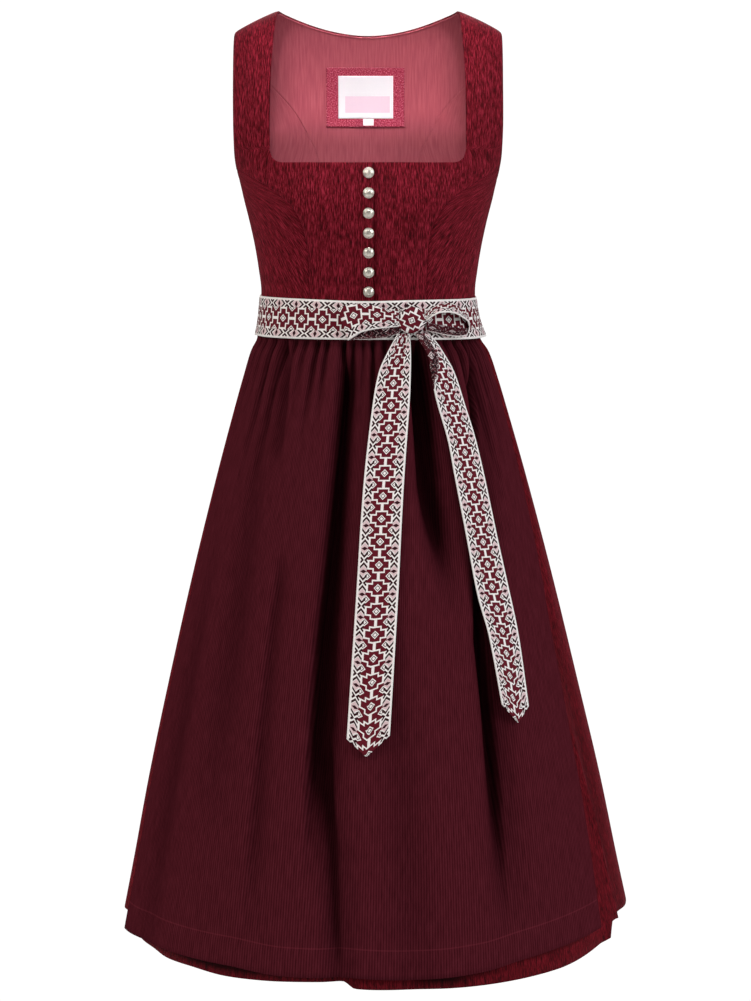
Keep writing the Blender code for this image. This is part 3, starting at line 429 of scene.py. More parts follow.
def body_angle(x, height, behind=False):
    """The angle of the bodice at a distance x from the centre, between 0 and 360 on its back."""
    degrees = angle_at(ring(BODY, np.minimum(height, CHEST)), BODY_POWER, x, behind)
    return np.where(degrees < 0.0, degrees + 360.0, degrees) if behind else degrees


def rise(across, height, sizes):
    """How far a soft rise of the bodice stands out."""
    out, place, reach, level, tall = sizes
    return out * bell((across - place) / reach) * bell((height - level) / tall)


def body_point(degrees, height):
    """The outside of the bodice. Above the chest, height runs on over the shoulder."""
    low = np.minimum(height, CHEST)
    x, y = on_ring(ring(BODY, low), BODY_POWER, degrees)
    ahead = np.cos(np.radians(degrees)) > 0
    y = np.where(ahead, y - rise(np.abs(x), height, BUST), y)
    share = np.radians(90.0) * np.maximum(height - CHEST, 0.0) / OVER_SHOULDER
    top = SHOULDER_MIDDLE - SHOULDER_FALL * (x / STRAP_TIP) ** 2
    z = np.where(height <= CHEST, height, CHEST + (top - CHEST) * np.sin(share))
    return joined(x, y * np.cos(share), z)


def gather_depth(gathers, degrees, height):
    """How deep the gathers cut in near the waist."""
    below = BELT_BOTTOM + GATHER_RISE - height
    depth = 0.0
    for angle, deep, length in gathers:
        depth = depth + deep * bell((degrees - angle) / GATHER_WIDTH) * bell(below / length)
    return GATHER_PULL * depth * soft_step(below / GATHER_START)


def fold_depth(degrees, height):
    """How deep the long folds and the creases cut in."""
    depth = 0.0
    for top, bottom, angle_top, angle_middle, angle_bottom, width, deep in FOLDS:
        share = np.clip((top - height) / (top - bottom), 0.0, 1.0)
        middle = np.interp(share, (0.0, 0.5, 1.0), (angle_top, angle_middle, angle_bottom))
        reach = half_turn(degrees - middle) / width
        depth = depth + deep * bell(reach) * np.sin(math.pi * share) ** FOLD_END_POWER
    for deep, left, right, path in CREASES:
        top, bottom = path[0][0], path[-1][0]
        share = np.clip((top - height) / (top - bottom), 0.0, 1.0)
        middle = np.interp(-height, [-row[0] for row in path], [row[1] for row in path])
        reach = half_turn(degrees - middle)
        ends = soft_step(share / CREASE_START) * soft_step((1.0 - share) / CREASE_END)
        depth = depth + deep * bell(reach / np.where(reach < 0.0, left, right)) * ends
    return depth


def sideways(degrees):
    """The level direction out of the garment at an angle."""
    turn = np.radians(degrees)
    return joined(np.sin(turn), -np.cos(turn), np.zeros_like(turn))


def fold_shade_share(inward):
    """Painted shade: how deep in a fold the cloth lies, as a share of darkening for its finish."""
    return np.clip(inward / FOLD_SHADE_DEEP, 0.0, 1.0)


def level_offset(points, degrees, inward):
    """Points moved level inward, each at its angle."""
    return points - sideways(degrees) * np.asarray(inward)[..., None]


def ring_point(rows, power, degrees, height, inward):
    """The place on a table of rings at an angle and a height, moved level inward."""
    x, y = on_ring(ring(rows, height), power, degrees)
    return level_offset(joined(x, y, height), degrees, inward)


def skirt_point(degrees, height):
    """The outside of the skirt. Under the apron it lies further in."""
    turn = np.where(degrees <= 180.0, degrees, degrees - 360.0)
    left, right = curve(APRON_LEFT, height), curve(APRON_RIGHT, height)
    covered = soft_step((turn - left + COVER_REACH) / COVER_FADE)
    covered = covered * soft_step((right + COVER_REACH - turn) / COVER_FADE)
    inward = covered * curve(UNDER_APRON, height) + fold_depth(degrees, height)
    inward = inward + gather_depth(BACK_GATHERS, degrees % 360.0, height)
    return ring_point(SKIRT, SKIRT_POWER, degrees, height, inward)


def apron_depth(degrees, height):
    """How deep the apron's own gathers and the skirt's long folds cut in."""
    left, right = curve(APRON_LEFT, height), curve(APRON_RIGHT, height)
    first, last = curve(APRON_LEFT, APRON_TOP), curve(APRON_RIGHT, APRON_TOP)
    top_angle = mix(first, last, (degrees - left) / (right - left))
    return fold_depth(degrees, height) + gather_depth(APRON_GATHERS, top_angle, height)


def apron_point(degrees, height):
    """The outside of the apron."""
    return ring_point(SKIRT, SKIRT_POWER, degrees, height, apron_depth(degrees, height))


def belt_point(degrees, height):
    """The inner side of the belt."""
    return ring_point(BODY, BODY_POWER, degrees, height, -curve(BELT_STAND, height))


def outward_from(surface, degrees, height):
    """The direction straight out of a surface of angle and height."""
    around = surface(degrees + ANGLE_PROBE, height) - surface(degrees - ANGLE_PROBE, height)
    upward = surface(degrees, height + HEIGHT_PROBE) - surface(degrees, height - HEIGHT_PROBE)
    normal = np.cross(around, upward)
    return normal / np.linalg.norm(normal, axis=-1, keepdims=True)


def front_of_belt(x, height):
    """The y of the belt's outside at a place in front."""
    return belt_point(body_angle(x, height), height)[..., 1] - RIBBON_CLOTH


def front_of_skirt(x, height):
    """The y of the skirt's smooth front at a place, without its folds."""
    sizes = ring(SKIRT, height)
    return on_ring(sizes, SKIRT_POWER, angle_at(sizes, SKIRT_POWER, x))[1]


def along_rows(points):
    """Distance along each row of a grid of points, from its first column."""
    steps = np.linalg.norm(np.diff(points, axis=1), axis=-1)
    return np.concatenate((np.zeros((len(points), 1)), np.cumsum(steps, axis=1)), axis=1)


def along_columns(points):
    """Distance along each column of a grid of points, from its first row."""
    steps = np.linalg.norm(np.diff(points, axis=0), axis=-1)
    return np.concatenate((np.zeros((1, points.shape[1])), np.cumsum(steps, axis=0)), axis=0)


def placed(name, data):
    """A new object in the scene."""
    thing = bpy.data.objects.new(name, data)
    bpy.context.scene.collection.objects.link(thing)
    return thing


def new_object(name, shape, finishes):
    """A bmesh as a smooth object with its finishes."""
    mesh = bpy.data.meshes.new(name)
    shape.to_mesh(mesh)
    shape.free()
    mesh.shade_smooth()
    for finish in finishes:
        mesh.materials.append(finish)
    return placed(name, mesh)


def cloth_piece(name, points, flat, finishes, thickness, keep=None, probe=0.5, painted_shade=None):
    """Fine cloth through a grid of points of its outer side, with its cloth coordinates in metres.

    It stands for the solid of that name. keep says which cells stay. finishes are for its outside and
    its inside. The cell at the share probe of the grid is one that faces away from the wearer. The last
    argument is painted shade: a share for each point, deep in folds and where other parts shade it,
    which its finish paints darker.
    """
    rows, columns = points.shape[0] - 1, points.shape[1] - 1
    cloth = bmesh.new()
    bmesh.ops.create_grid(cloth, x_segments=columns, y_segments=rows, size=0.5)
    layer = cloth.loops.layers.uv.new("cloth")
    # A layer of painted shade on each point, which the finish paints darker
    shaded = cloth.verts.layers.float.new("painted_shade")
    painted_shade = np.zeros(points.shape[:2]) if painted_shade is None else painted_shade
    at = {}
    for vert in cloth.verts:
        row, column = round((vert.co.y + 0.5) * rows), round((vert.co.x + 0.5) * columns)
        at[vert] = (row, column)
        vert.co = points[row, column]
        vert[shaded] = painted_shade[row, column]
    dropped = []
    for face in cloth.faces:
        spots = [at[loop.vert] for loop in face.loops]
        if keep is not None and not keep(min(spot[0] for spot in spots), min(spot[1] for spot in spots)):
            dropped.append(face)
            continue
        for loop, spot in zip(face.loops, spots):
            loop[layer].uv = flat[spot]
    bmesh.ops.delete(cloth, geom=dropped, context="FACES")
    cloth.faces.ensure_lookup_table()
    middle = cloth.faces[int(len(cloth.faces) * probe)]
    centre = middle.calc_center_median()
    away = Vector((centre.x, centre.y, 0.0))
    if middle.normal.length == 0.0:
        cloth.normal_update()
    if middle.normal.dot(away) < 0.0:
        bmesh.ops.reverse_faces(cloth, faces=cloth.faces[:])
    piece = new_object(name + "_cloth", cloth, finishes)
    wall = piece.modifiers.new("wall", "SOLIDIFY")
    wall.thickness = thickness
    wall.offset = -1.0
    if len(finishes) > 1:
        wall.material_offset = 1
    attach(piece, "root")
    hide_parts(name)


def small_piece(name, shape, finish):
    """A bmesh as one finished piece, which stands for the solid of that name."""
    piece = new_object(name + "_fine", shape, [finish])
    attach(piece, "root")
    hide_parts(name)


def colour(code):
    """The linear colour of an sRGB hex value."""
    parts = [int(code[start:start + 2], 16) / 255.0 for start in (1, 3, 5)]
    linear = [part / 12.92 if part <= 0.04045 else ((part + 0.055) / 1.055) ** 2.4 for part in parts]
    return (*linear, 1.0)


def add(tree, kind, inputs=(), operation=None, ramp=(), **settings):
    """Add a node, set what it has to set, and fill its inputs or link them to other nodes."""
    made = tree.nodes.new("ShaderNode" + kind)
    if operation:
        made.operation = operation
    for key, value in settings.items():
        setattr(made, key, value)
    for key, value in inputs.items() if isinstance(inputs, dict) else enumerate(inputs):
        if isinstance(value, bpy.types.Node):
            value = value.outputs[0]
        if isinstance(value, bpy.types.NodeSocket):
            tree.links.new(value, made.inputs[key])
        else:
            made.inputs[key].default_value = value
    for place, code in ramp:
        made.color_ramp.elements.new(place).color = colour(code)
    if ramp:
        made.color_ramp.elements.remove(made.color_ramp.elements[0])
        made.color_ramp.elements.remove(made.color_ramp.elements[-1])
    return made


def new_finish(name, **values):
    """A material with its shader's own values set, and that shader."""
    material = bpy.data.materials.new(name)
    material.use_nodes = True
    tree = material.node_tree
    shader = tree.nodes["Principled BSDF"]
    for key, value in values.items():
        shader.inputs[key.replace("_", " ")].default_value = value
    return material, tree, shader


def dress(tree, shader, shade, height, strength, distance, shade_strength=0.0):
    """Give a shader its relief and its colour, with painted shade: darker by the given strength where the cloth
    carries painted shade.
    """
    relief = add(tree, "Bump", {"Height": height, "Strength": strength, "Distance": distance})
    tone = shade.outputs[2 if shade.type == "MIX" else 0]
    if shade_strength > 0.0:
        # Painted shade: the colour is mixed towards black by the cloth's painted shade times its strength
        painted_shade = add(tree, "Attribute", attribute_name="painted_shade")
        share = add(tree, "Math", (painted_shade.outputs["Fac"], shade_strength), "MULTIPLY")
        tone = add(tree, "Mix", {0: share, 6: tone, 7: colour("#000000")}, data_type="RGBA").outputs[2]
    tree.links.new(tone, shader.inputs["Base Color"])
    tree.links.new(relief.outputs[0], shader.inputs["Normal"])


def velour(name, dark, middle, light):
    """Slubby chenille velour: broken ribs of cut pile, deep red between, with a soft bloom at the sides."""
    material, tree, shader = new_finish(
        name, Roughness=0.75, Specular_IOR_Level=0.06, Sheen_Weight=0.40, Sheen_Roughness=0.30,
        Sheen_Tint=colour("#8e2238"),
    )
    cloth = add(tree, "UVMap", uv_map="cloth")
    stretch = add(tree, "Mapping", {"Vector": cloth, "Scale": (1 / SLUB_WIDE, 1 / SLUB_LONG, 1.0)})
    slubs = add(tree, "TexNoise", {"Vector": stretch, "Scale": 1.0, "Detail": 3.0, "Roughness": 0.65})
    broad = add(tree, "TexNoise", {"Vector": stretch, "Scale": 0.22, "Detail": 2.0})
    pile = add(tree, "Math", (broad, 0.22, slubs), "MULTIPLY_ADD")
    shade = add(tree, "ValToRGB", (pile,), ramp=((0.46, dark), (0.60, middle), (0.76, light)))
    # The last value is how strongly painted shade darkens it deep in the folds
    dress(tree, shader, shade, pile, 0.7, 0.0008, 0.8)
    return material


# A wave texture lays this many ribs over a length of tau
WAVE_RIBS = 20.0


def needlecord(name, dark, middle, light):
    """Fine needlecord: narrow raised ribs down the cloth, matt, darker in the furrows, with a hem stitch."""
    material, tree, shader = new_finish(name, Roughness=0.95, Specular_IOR_Level=0.0)
    cloth = add(tree, "UVMap", uv_map="cloth")
    above_hem = add(tree, "SeparateXYZ", (cloth,)).outputs[1]
    stitched = add(tree, "Math", (above_hem, APRON_HEM_DEEP, HEM_STITCH), "COMPARE")
    stitched = add(tree, "Math", (stitched, 0.20), "MULTIPLY")
    rib_scale = math.tau / WAVE_RIBS / CORD_RIB
    ribs = add(tree, "TexWave", {"Vector": cloth, "Scale": rib_scale}, bands_direction="X")
    stretch = add(tree, "Mapping", {"Vector": cloth, "Scale": (1 / CORD_RIB, 1 / CORD_LONG, 1.0)})
    wear = add(tree, "TexNoise", {"Vector": stretch, "Scale": 1.0, "Detail": 3.0, "Roughness": 0.6})
    worn = add(tree, "Math", (wear, 0.45), "MULTIPLY")
    pile = add(tree, "Math", (ribs.outputs["Fac"], 0.24, worn), "MULTIPLY_ADD")
    shade = add(tree, "ValToRGB", (pile,), ramp=((0.05, dark), (0.335, middle), (0.615, light)))
    shade = add(tree, "Mix", {0: stitched, 6: shade, 7: colour("#7c2f3b")}, data_type="RGBA")
    # The last value is how strongly painted shade darkens it deep in the folds
    dress(tree, shader, shade, pile, 0.5, 0.0007, 0.8)
    return material


def lining_cloth(name, thread, dark, middle, light):
    """Smooth cotton lining: fine threads down the cloth, hardly crossed, a little lighter where they rise."""
    material, tree, shader = new_finish(name, Roughness=0.85, Specular_IOR_Level=0.2)
    cloth = add(tree, "UVMap", uv_map="cloth")
    threads = []
    for scale in ((1 / thread, 0.05 / thread, 1.0), (0.5 / thread, 0.04 / thread, 1.0)):
        stretch = add(tree, "Mapping", {"Vector": cloth, "Scale": scale})
        threads.append(add(tree, "TexNoise", {"Vector": stretch, "Scale": 1.0, "Detail": 2.0}))
    crossing = add(tree, "Math", threads, "ADD")
    level = add(tree, "Math", (crossing, 0.5), "MULTIPLY")
    shade = add(tree, "ValToRGB", (level,), ramp=((0.38, dark), (0.50, middle), (0.62, light)))
    # The last value is how strongly painted shade darkens it beside the neck and low on the back
    dress(tree, shader, shade, crossing, 0.2, 0.0002, 0.6)
    return material


def melange(name, dark, middle, light):
    """Melange felted cloth: red wool with pale and dark flecks mixed into the yarn."""
    material, tree, shader = new_finish(name, Roughness=0.95, Specular_IOR_Level=0.1, Sheen_Weight=0.3)
    cloth = add(tree, "UVMap", uv_map="cloth")
    flecks = add(tree, "TexNoise", {"Vector": cloth, "Scale": 700.0, "Detail": 4.0, "Roughness": 0.75})
    shade = add(tree, "ValToRGB", (flecks,), ramp=((0.40, dark), (0.50, middle), (0.62, light)))
    dress(tree, shader, shade, flecks, 0.6, 0.0006)
    return material


# Threads of the label to the metre, across and along
SATIN_THREADS = (400.0, 1600.0, 1.0)


def satin_label(name, field_middle, field_half):
    """Woven satin label: smooth bright white with one pale pink field, left without words."""
    material, tree, shader = new_finish(name, Roughness=0.45, Specular_IOR_Level=0.4)
    cloth = add(tree, "UVMap", uv_map="cloth")
    from_field = add(tree, "VectorMath", (cloth, (*field_middle, 0.0)), "SUBTRACT")
    sides = add(tree, "SeparateXYZ", (add(tree, "VectorMath", (from_field,), "ABSOLUTE"),))
    wide = add(tree, "Math", (sides.outputs[0], field_half[0]), "LESS_THAN")
    tall = add(tree, "Math", (sides.outputs[1], field_half[1]), "LESS_THAN")
    field = add(tree, "Math", (wide, tall), "MULTIPLY")
    threads = add(tree, "Mapping", {"Vector": cloth, "Scale": SATIN_THREADS})
    grain = add(tree, "TexNoise", {"Vector": threads, "Scale": 1.0, "Detail": 2.0})
    shade = add(tree, "Mix", {0: field, 6: colour("#fbfbff"), 7: colour("#f3dbea")}, data_type="RGBA")
    dress(tree, shader, shade, grain, 0.3, 0.0003)
    return material


def aged_silver(name):
    """Cast button metal, silver plated and rubbed by wear, its brightness mottled at random."""
    material, tree, shader = new_finish(name, Metallic=1.0, Roughness=0.34)
    spot = add(tree, "TexCoord").outputs["Object"]
    dull = add(tree, "TexNoise", {"Vector": spot, "Scale": 900.0, "Detail": 3.0, "Roughness": 0.7})
    shade = add(tree, "ValToRGB", (dull,), ramp=((0.30, "#8f8a80"), (0.50, "#d9d3c6"), (0.70, "#f2ede2")))
    dress(tree, shader, shade, dull, 0.25, 0.0002)
    return material


# Places in the ribbon's pattern, as shares of its width
SIDE_COLUMN = 0.267
BORDER_COLUMN = 0.363
BORDER_SHIFT = 0.108
BORDER_HALF = 0.088
FIGURES_HALF = 0.285
FLOWER_BLOCKS = ((0.232, 0.076), (0.118, 0.158))
FLOWER_HEART = 0.096
# Its lines and strokes: middle and half width
FLOWER_LINE = (0.055, 0.011)
CROSS_ARM = (0.080, 0.033)
CROSS_WEDGE = (-0.036, 0.034)
CROSS_HALF = 0.072
CROSS_SLANT = -1.15
STUD_SLANT = 0.57
STUD_HALF = 0.046
BLUSH_START = 0.13
# Shares of the tint beside the crosses and of the thread that floats on the reverse, and how worn the yarn is
BLUSH = 0.5
FLOATS = 0.58
WORN = (0.5, 0.72)


def apart(tree, place, middle):
    """How far a place lies from a middle, to either side."""
    return add(tree, "Math", (add(tree, "Math", (place, middle), "SUBTRACT"),), "ABSOLUTE")


def repeated(tree, along, half):
    """How far a place lies from the nearest figure of a row, and from the nearest gap between two."""
    by_figure = add(tree, "Math", (along, half), "PINGPONG")
    return by_figure, add(tree, "Math", (half, by_figure), "SUBTRACT")


def flower(tree, across, along):
    """Whether a place lies on a woven flower: a short bar crossed by a broad upright block."""
    shapes = []
    for half_across, half_along in FLOWER_BLOCKS:
        near_across = add(tree, "Math", (across, 0.0, half_across), "COMPARE")
        near_along = add(tree, "Math", (along, 0.0, half_along), "COMPARE")
        shapes.append(add(tree, "Math", (near_across, near_along), "MULTIPLY"))
    return add(tree, "Math", shapes, "MAXIMUM")


def jacquard(name, ground, figure, line, tint, reverse=False):
    """Jacquard ribbon: a column of woven flowers, half flowers beside it, crossed borders, pale selvedges.

    The reverse shows the floats instead: dark, with broken bits of the pale thread.
    All its places are shares of the ribbon's width.
    """
    material, tree, shader = new_finish(name, Roughness=0.8, Specular_IOR_Level=0.15)
    cloth = add(tree, "UVMap", uv_map="cloth")
    scaled = add(tree, "VectorMath", {0: cloth, "Scale": 1.0 / RIBBON_WIDE}, "SCALE")
    parts = add(tree, "SeparateXYZ", (scaled,))
    half = RIBBON_REPEAT / RIBBON_WIDE / 2.0
    by_flower, by_gap = repeated(tree, parts.outputs[0], half)
    past_flower = add(tree, "Math", (parts.outputs[0], BORDER_SHIFT), "SUBTRACT")
    by_cross, by_stud = repeated(tree, past_flower, half)
    from_middle = apart(tree, parts.outputs[1], 0.5)
    from_side = apart(tree, from_middle, SIDE_COLUMN)
    from_border = apart(tree, from_middle, BORDER_COLUMN)
    in_figures = add(tree, "Math", (from_middle, FIGURES_HALF), "LESS_THAN")
    in_border = add(tree, "Math", (from_border, BORDER_HALF), "LESS_THAN")

    red, pale, dark = 0.0, 0.0, 0.0
    for across, along, where in ((from_middle, by_flower, 1.0), (from_side, by_gap, in_figures)):
        petals = add(tree, "Math", (flower(tree, across, along), where), "MULTIPLY")
        diamond = add(tree, "Math", (across, along), "ADD")
        centre = add(tree, "Math", (diamond, FLOWER_HEART), "LESS_THAN")
        outline = add(tree, "Math", (diamond, *FLOWER_LINE), "COMPARE")
        red = add(tree, "Math", (red, petals), "MAXIMUM")
        pale = add(tree, "Math", (pale, centre), "MAXIMUM")
        dark = add(tree, "Math", (dark, outline), "MAXIMUM")
    slant = add(tree, "Math", (from_border, CROSS_SLANT, by_cross), "MULTIPLY_ADD")
    arms = add(tree, "Math", (slant, *CROSS_ARM), "COMPARE")
    wedges = add(tree, "Math", (slant, *CROSS_WEDGE), "COMPARE")
    near_cross = add(tree, "Math", (by_cross, CROSS_HALF), "LESS_THAN")
    wedges = add(tree, "Math", (wedges, near_cross), "MULTIPLY")
    from_stud = add(tree, "Math", (from_border, STUD_SLANT, by_stud), "MULTIPLY_ADD")
    marks = add(tree, "Math", (from_stud, STUD_HALF), "LESS_THAN")
    for stroke in (arms, wedges):
        marks = add(tree, "Math", (marks, stroke), "MAXIMUM")
    marks = add(tree, "Math", (marks, in_border), "MULTIPLY")
    dark = add(tree, "Math", (dark, marks), "MAXIMUM")
    beside_cross = add(tree, "Math", (slant, BLUSH_START), "GREATER_THAN")
    blush = add(tree, "Math", (beside_cross, in_border), "MULTIPLY")
    blush = add(tree, "Math", (blush, BLUSH), "MULTIPLY")

    yarn = add(tree, "Mapping", {"Vector": cloth, "Scale": (1 / YARN_WIDE, 1 / YARN_LONG, 1.0)})
    uneven = add(tree, "TexNoise", {"Vector": yarn, "Scale": 1.0, "Detail": 2.0, "Roughness": 0.6})
    if reverse:
        floats = add(tree, "Math", (uneven, FLOATS), "LESS_THAN")
        red = add(tree, "Math", (red, floats), "MAXIMUM")
    shade = colour(ground)
    for where, code in ((blush, tint), (red, figure), (pale, ground), (dark, line)):
        shade = add(tree, "Mix", {0: where, 6: shade, 7: colour(code)}, data_type="RGBA").outputs[2]
    worn = add(tree, "Math", (uneven, *WORN), "MULTIPLY_ADD")
    grey = add(tree, "CombineXYZ", (worn, worn, worn))
    shade = add(tree, "Mix", {0: 1.0, 6: shade, 7: grey}, data_type="RGBA", blend_type="MULTIPLY")
    height = add(tree, "Math", (red, 0.5, uneven), "MULTIPLY_ADD")
    dress(tree, shader, shade, height, 0.5, 0.0005)
    return material


VELOUR = velour("chenille_velour", "#2e0308", "#590914", "#8a2031")
SKIRT_VELOUR = velour("chenille_velour_skirt", "#2c0308", "#560812", "#74131f")
CORD = needlecord("needlecord", "#290a0e", "#48161e", "#5c222c")
LINING = lining_cloth("cotton_lining", LINING_THREAD, "#b05261", "#bb5b68", "#c3636f")
PATCH = melange("melange_felt", "#861d38", "#b0314e", "#d97a8e")
LABEL = satin_label("satin_label", (-0.001, -0.094), (0.0255, 0.0095))
SILVER = aged_silver("aged_silver")
RIBBON = jacquard("jacquard_ribbon", "#efe9e5", "#5e0f1e", "#300912", "#c07a87")
RIBBON_BACK = jacquard("jacquard_ribbon_reverse", "#cdbcbb", "#430c17", "#1c060b", "#6d2a36", reverse=True)

# How the edge of a bodice panel rolls in at its seams and hems
ROLL_DEEP = 0.0006
ROLL_WIDE = 0.0020

# Steps of height up to the end of a curved seam, the same in its two panels
BUST_SEAM_STEPS = 52
BACK_SEAM_STEPS = 86

# Wrinkles of the bodice: depth, slants and waves to the metre
WRINKLE_DEEP = 0.0006
WRINKLE_SLANTS = (0.3, 0.2)
WRINKLE_WAVES = (11.0, 7.0)

# Shade on the inside of the back, beside the neck and low down: share, start, width
SHADE_BESIDE = (0.50, 0.072, 0.032)
SHADE_BELOW = (0.80, 0.094, 0.050)

# Lay of the ribs: slant and bend towards the bust seam, and turn on the side backs in degrees
RIB_SLANT = 0.36
RIB_BEND = 1.15
BACK_GRAIN = 12.0

# Puffed edge of the patch and the label: its width, how uneven it is, and its waves to the metre
PUFF_EDGE = 0.004
PUFF_EVEN = 0.6
PUFF_UNEVEN = 0.4
PUFF_WAVES = (9.0, 5.0)


def even(count):
    """Even shares from 0 to 1."""
    return np.linspace(0.0, 1.0, count)


def bands(*limits):
    """Heights or shares in even steps between limits: (start, end, steps) for each band."""
    parts = [np.linspace(start, end, steps + 1) for start, end, steps in limits]
    return np.concatenate(parts)


def rolled(points, outward, edge_distance, wrinkles):
    """Move points out by a panel's wrinkles, and in where they are near its edge."""
    roll = ROLL_DEEP * bell(edge_distance / ROLL_WIDE)
    return points + outward * (wrinkles - roll)[..., None]


def turned(flat, degrees):
    """Cloth coordinates turned by the lay of the panel's grain."""
    turn = math.radians(degrees)
    u, v = flat[..., 0], flat[..., 1]
    return joined(u * math.cos(turn) - v * math.sin(turn), u * math.sin(turn) + v * math.cos(turn))


def bodice_wrinkles(points, seed):
    """Very shallow unevenness of a bodice panel."""
    x, z = points[..., 0], points[..., 2]
    upright = ripple(seed, x + WRINKLE_SLANTS[0] * z, WRINKLE_WAVES[0])
    return WRINKLE_DEEP * upright * ripple(seed + 1.0, z - WRINKLE_SLANTS[1] * x, WRINKLE_WAVES[1])


def inside_shade(points, outside):
    """How far the inside of the back lies in the shade of the straps and the front."""
    shade = 0.0
    places = (np.abs(points[..., 0]), -points[..., 2])
    for place, (share, start, width) in zip(places, (SHADE_BESIDE, SHADE_BELOW)):
        shade = np.maximum(shade, share * soft_step((place - start) / width))
    return shade * (outside < 0.0)


def edge_of(across, from_top):
    """How far each place of a panel lies from its nearest side or its top."""
    return np.minimum(np.minimum(across, across[:, -1:] - across), from_top)


def side_panel(seam, top, steps, columns, behind=False):
    """Heights of a side panel, and the angles of its curved seam and of its side seam and armhole."""
    height = np.repeat(bands((WAIST, top, steps))[:, None], columns, axis=1)
    seam_angle = body_angle(curve(seam, height) + SEAM_HALF, height, behind)
    side_angle = 90.0 + (SIDE_SEAM_HALF if behind else -SIDE_SEAM_HALF)
    side_angle = np.where(height > UNDERARM, body_angle(curve(ARMHOLE, height), height, behind), side_angle)
    height[-1] += SEAM_GAP
    return height, seam_angle, side_angle


def make_front(word, side):
    """A centre front with its strap. The left one laps over the right one at the buttons."""
    start = (LAP_EDGE if side < 0 else LAP_UNDER) * side
    middle = even(45)
    strap = even(17)[1:]
    corner_height = NECKLINE + NECK_CORNER
    armhole = curve(ARMHOLE, corner_height)
    split = start + (armhole - start) * STRAP_SHARE
    reach = np.maximum(NECK_CORNER - (split - mix(start, split, middle)), 0.0)
    rounded = corner_height - np.sqrt(NECK_CORNER ** 2 - reach ** 2)
    neck = np.concatenate((rounded, np.full(len(strap), corner_height)))
    lower = bands((WAIST, BUST_SEAM_END, BUST_SEAM_STEPS))
    between = even(7)
    upper = np.linspace(corner_height, STRAP_TOP - SEAM_HALF, 57)[1:]
    height = np.concatenate((
        np.repeat(lower[:, None], len(neck), axis=1),
        mix(BUST_SEAM_END + SEAM_GAP, neck[None, :], between[:, None]),
        np.repeat(upper[:, None], len(neck), axis=1),
    ))
    neck_row = len(lower) + len(between) - 1
    outer = np.where(height <= BUST_SEAM_END, curve(BUST_SEAM, height) - SEAM_HALF, curve(ARMHOLE, height))
    inner = start + (outer - start) * STRAP_SHARE
    inner[neck_row + 1:] = curve(STRAP_INNER, height[neck_row + 1:])
    distance = np.concatenate((
        mix(start, inner[:, :len(middle)], middle), mix(inner[:, len(middle):], outer[:, len(middle):], strap),
    ), axis=1)
    degrees = body_angle(distance * side, height)
    base = body_point(degrees, height)
    outward = outward_from(body_point, degrees, height)
    if side > 0:
        under_lap = LAP_STEP * soft_step((LAP_STEP_END - distance) / LAP_STEP_WIDTH)
        base = base - outward * under_lap[..., None]
    across, up = along_rows(base), along_columns(base)
    to_neck = np.where(np.arange(len(neck)) < len(middle), neck[None, :] - height, 1.0)
    to_strap = across - across[:, len(middle) - 1:len(middle)]
    to_strap[:neck_row] = 1.0
    edge = np.minimum(edge_of(across, STRAP_TOP - height), np.minimum(np.abs(to_neck), np.abs(to_strap)))
    crease = rise(np.abs(distance), height, FRONT_CREASE)
    points = rolled(base, outward, edge, bodice_wrinkles(base, 3.0 + side) + crease)

    def keep(row, column):
        return row < neck_row or column >= len(middle) - 1

    flat = joined(across * side, up)
    cloth_piece("bodice_front_" + word, points, flat, [VELOUR, LINING], BODICE_CLOTH, keep)


def make_side_front(word, side):
    """A side front, its ribs laid slanting to the bust seam."""
    height, inner, outer = side_panel(BUST_SEAM, BUST_SEAM_END, BUST_SEAM_STEPS, 31)
    degrees = mix(inner, outer, even(31)) * side
    base = body_point(degrees, height)
    across, up = along_rows(base), along_columns(base)
    edge = edge_of(across, BUST_SEAM_END - height)
    points = rolled(base, outward_from(body_point, degrees, height), edge, bodice_wrinkles(base, 8.0 + side))
    flat = joined(across * side - side * (RIB_SLANT * up + RIB_BEND * up ** 2), up)
    cloth_piece("bodice_side_front_" + word, points, flat, [VELOUR, LINING], BODICE_CLOTH)


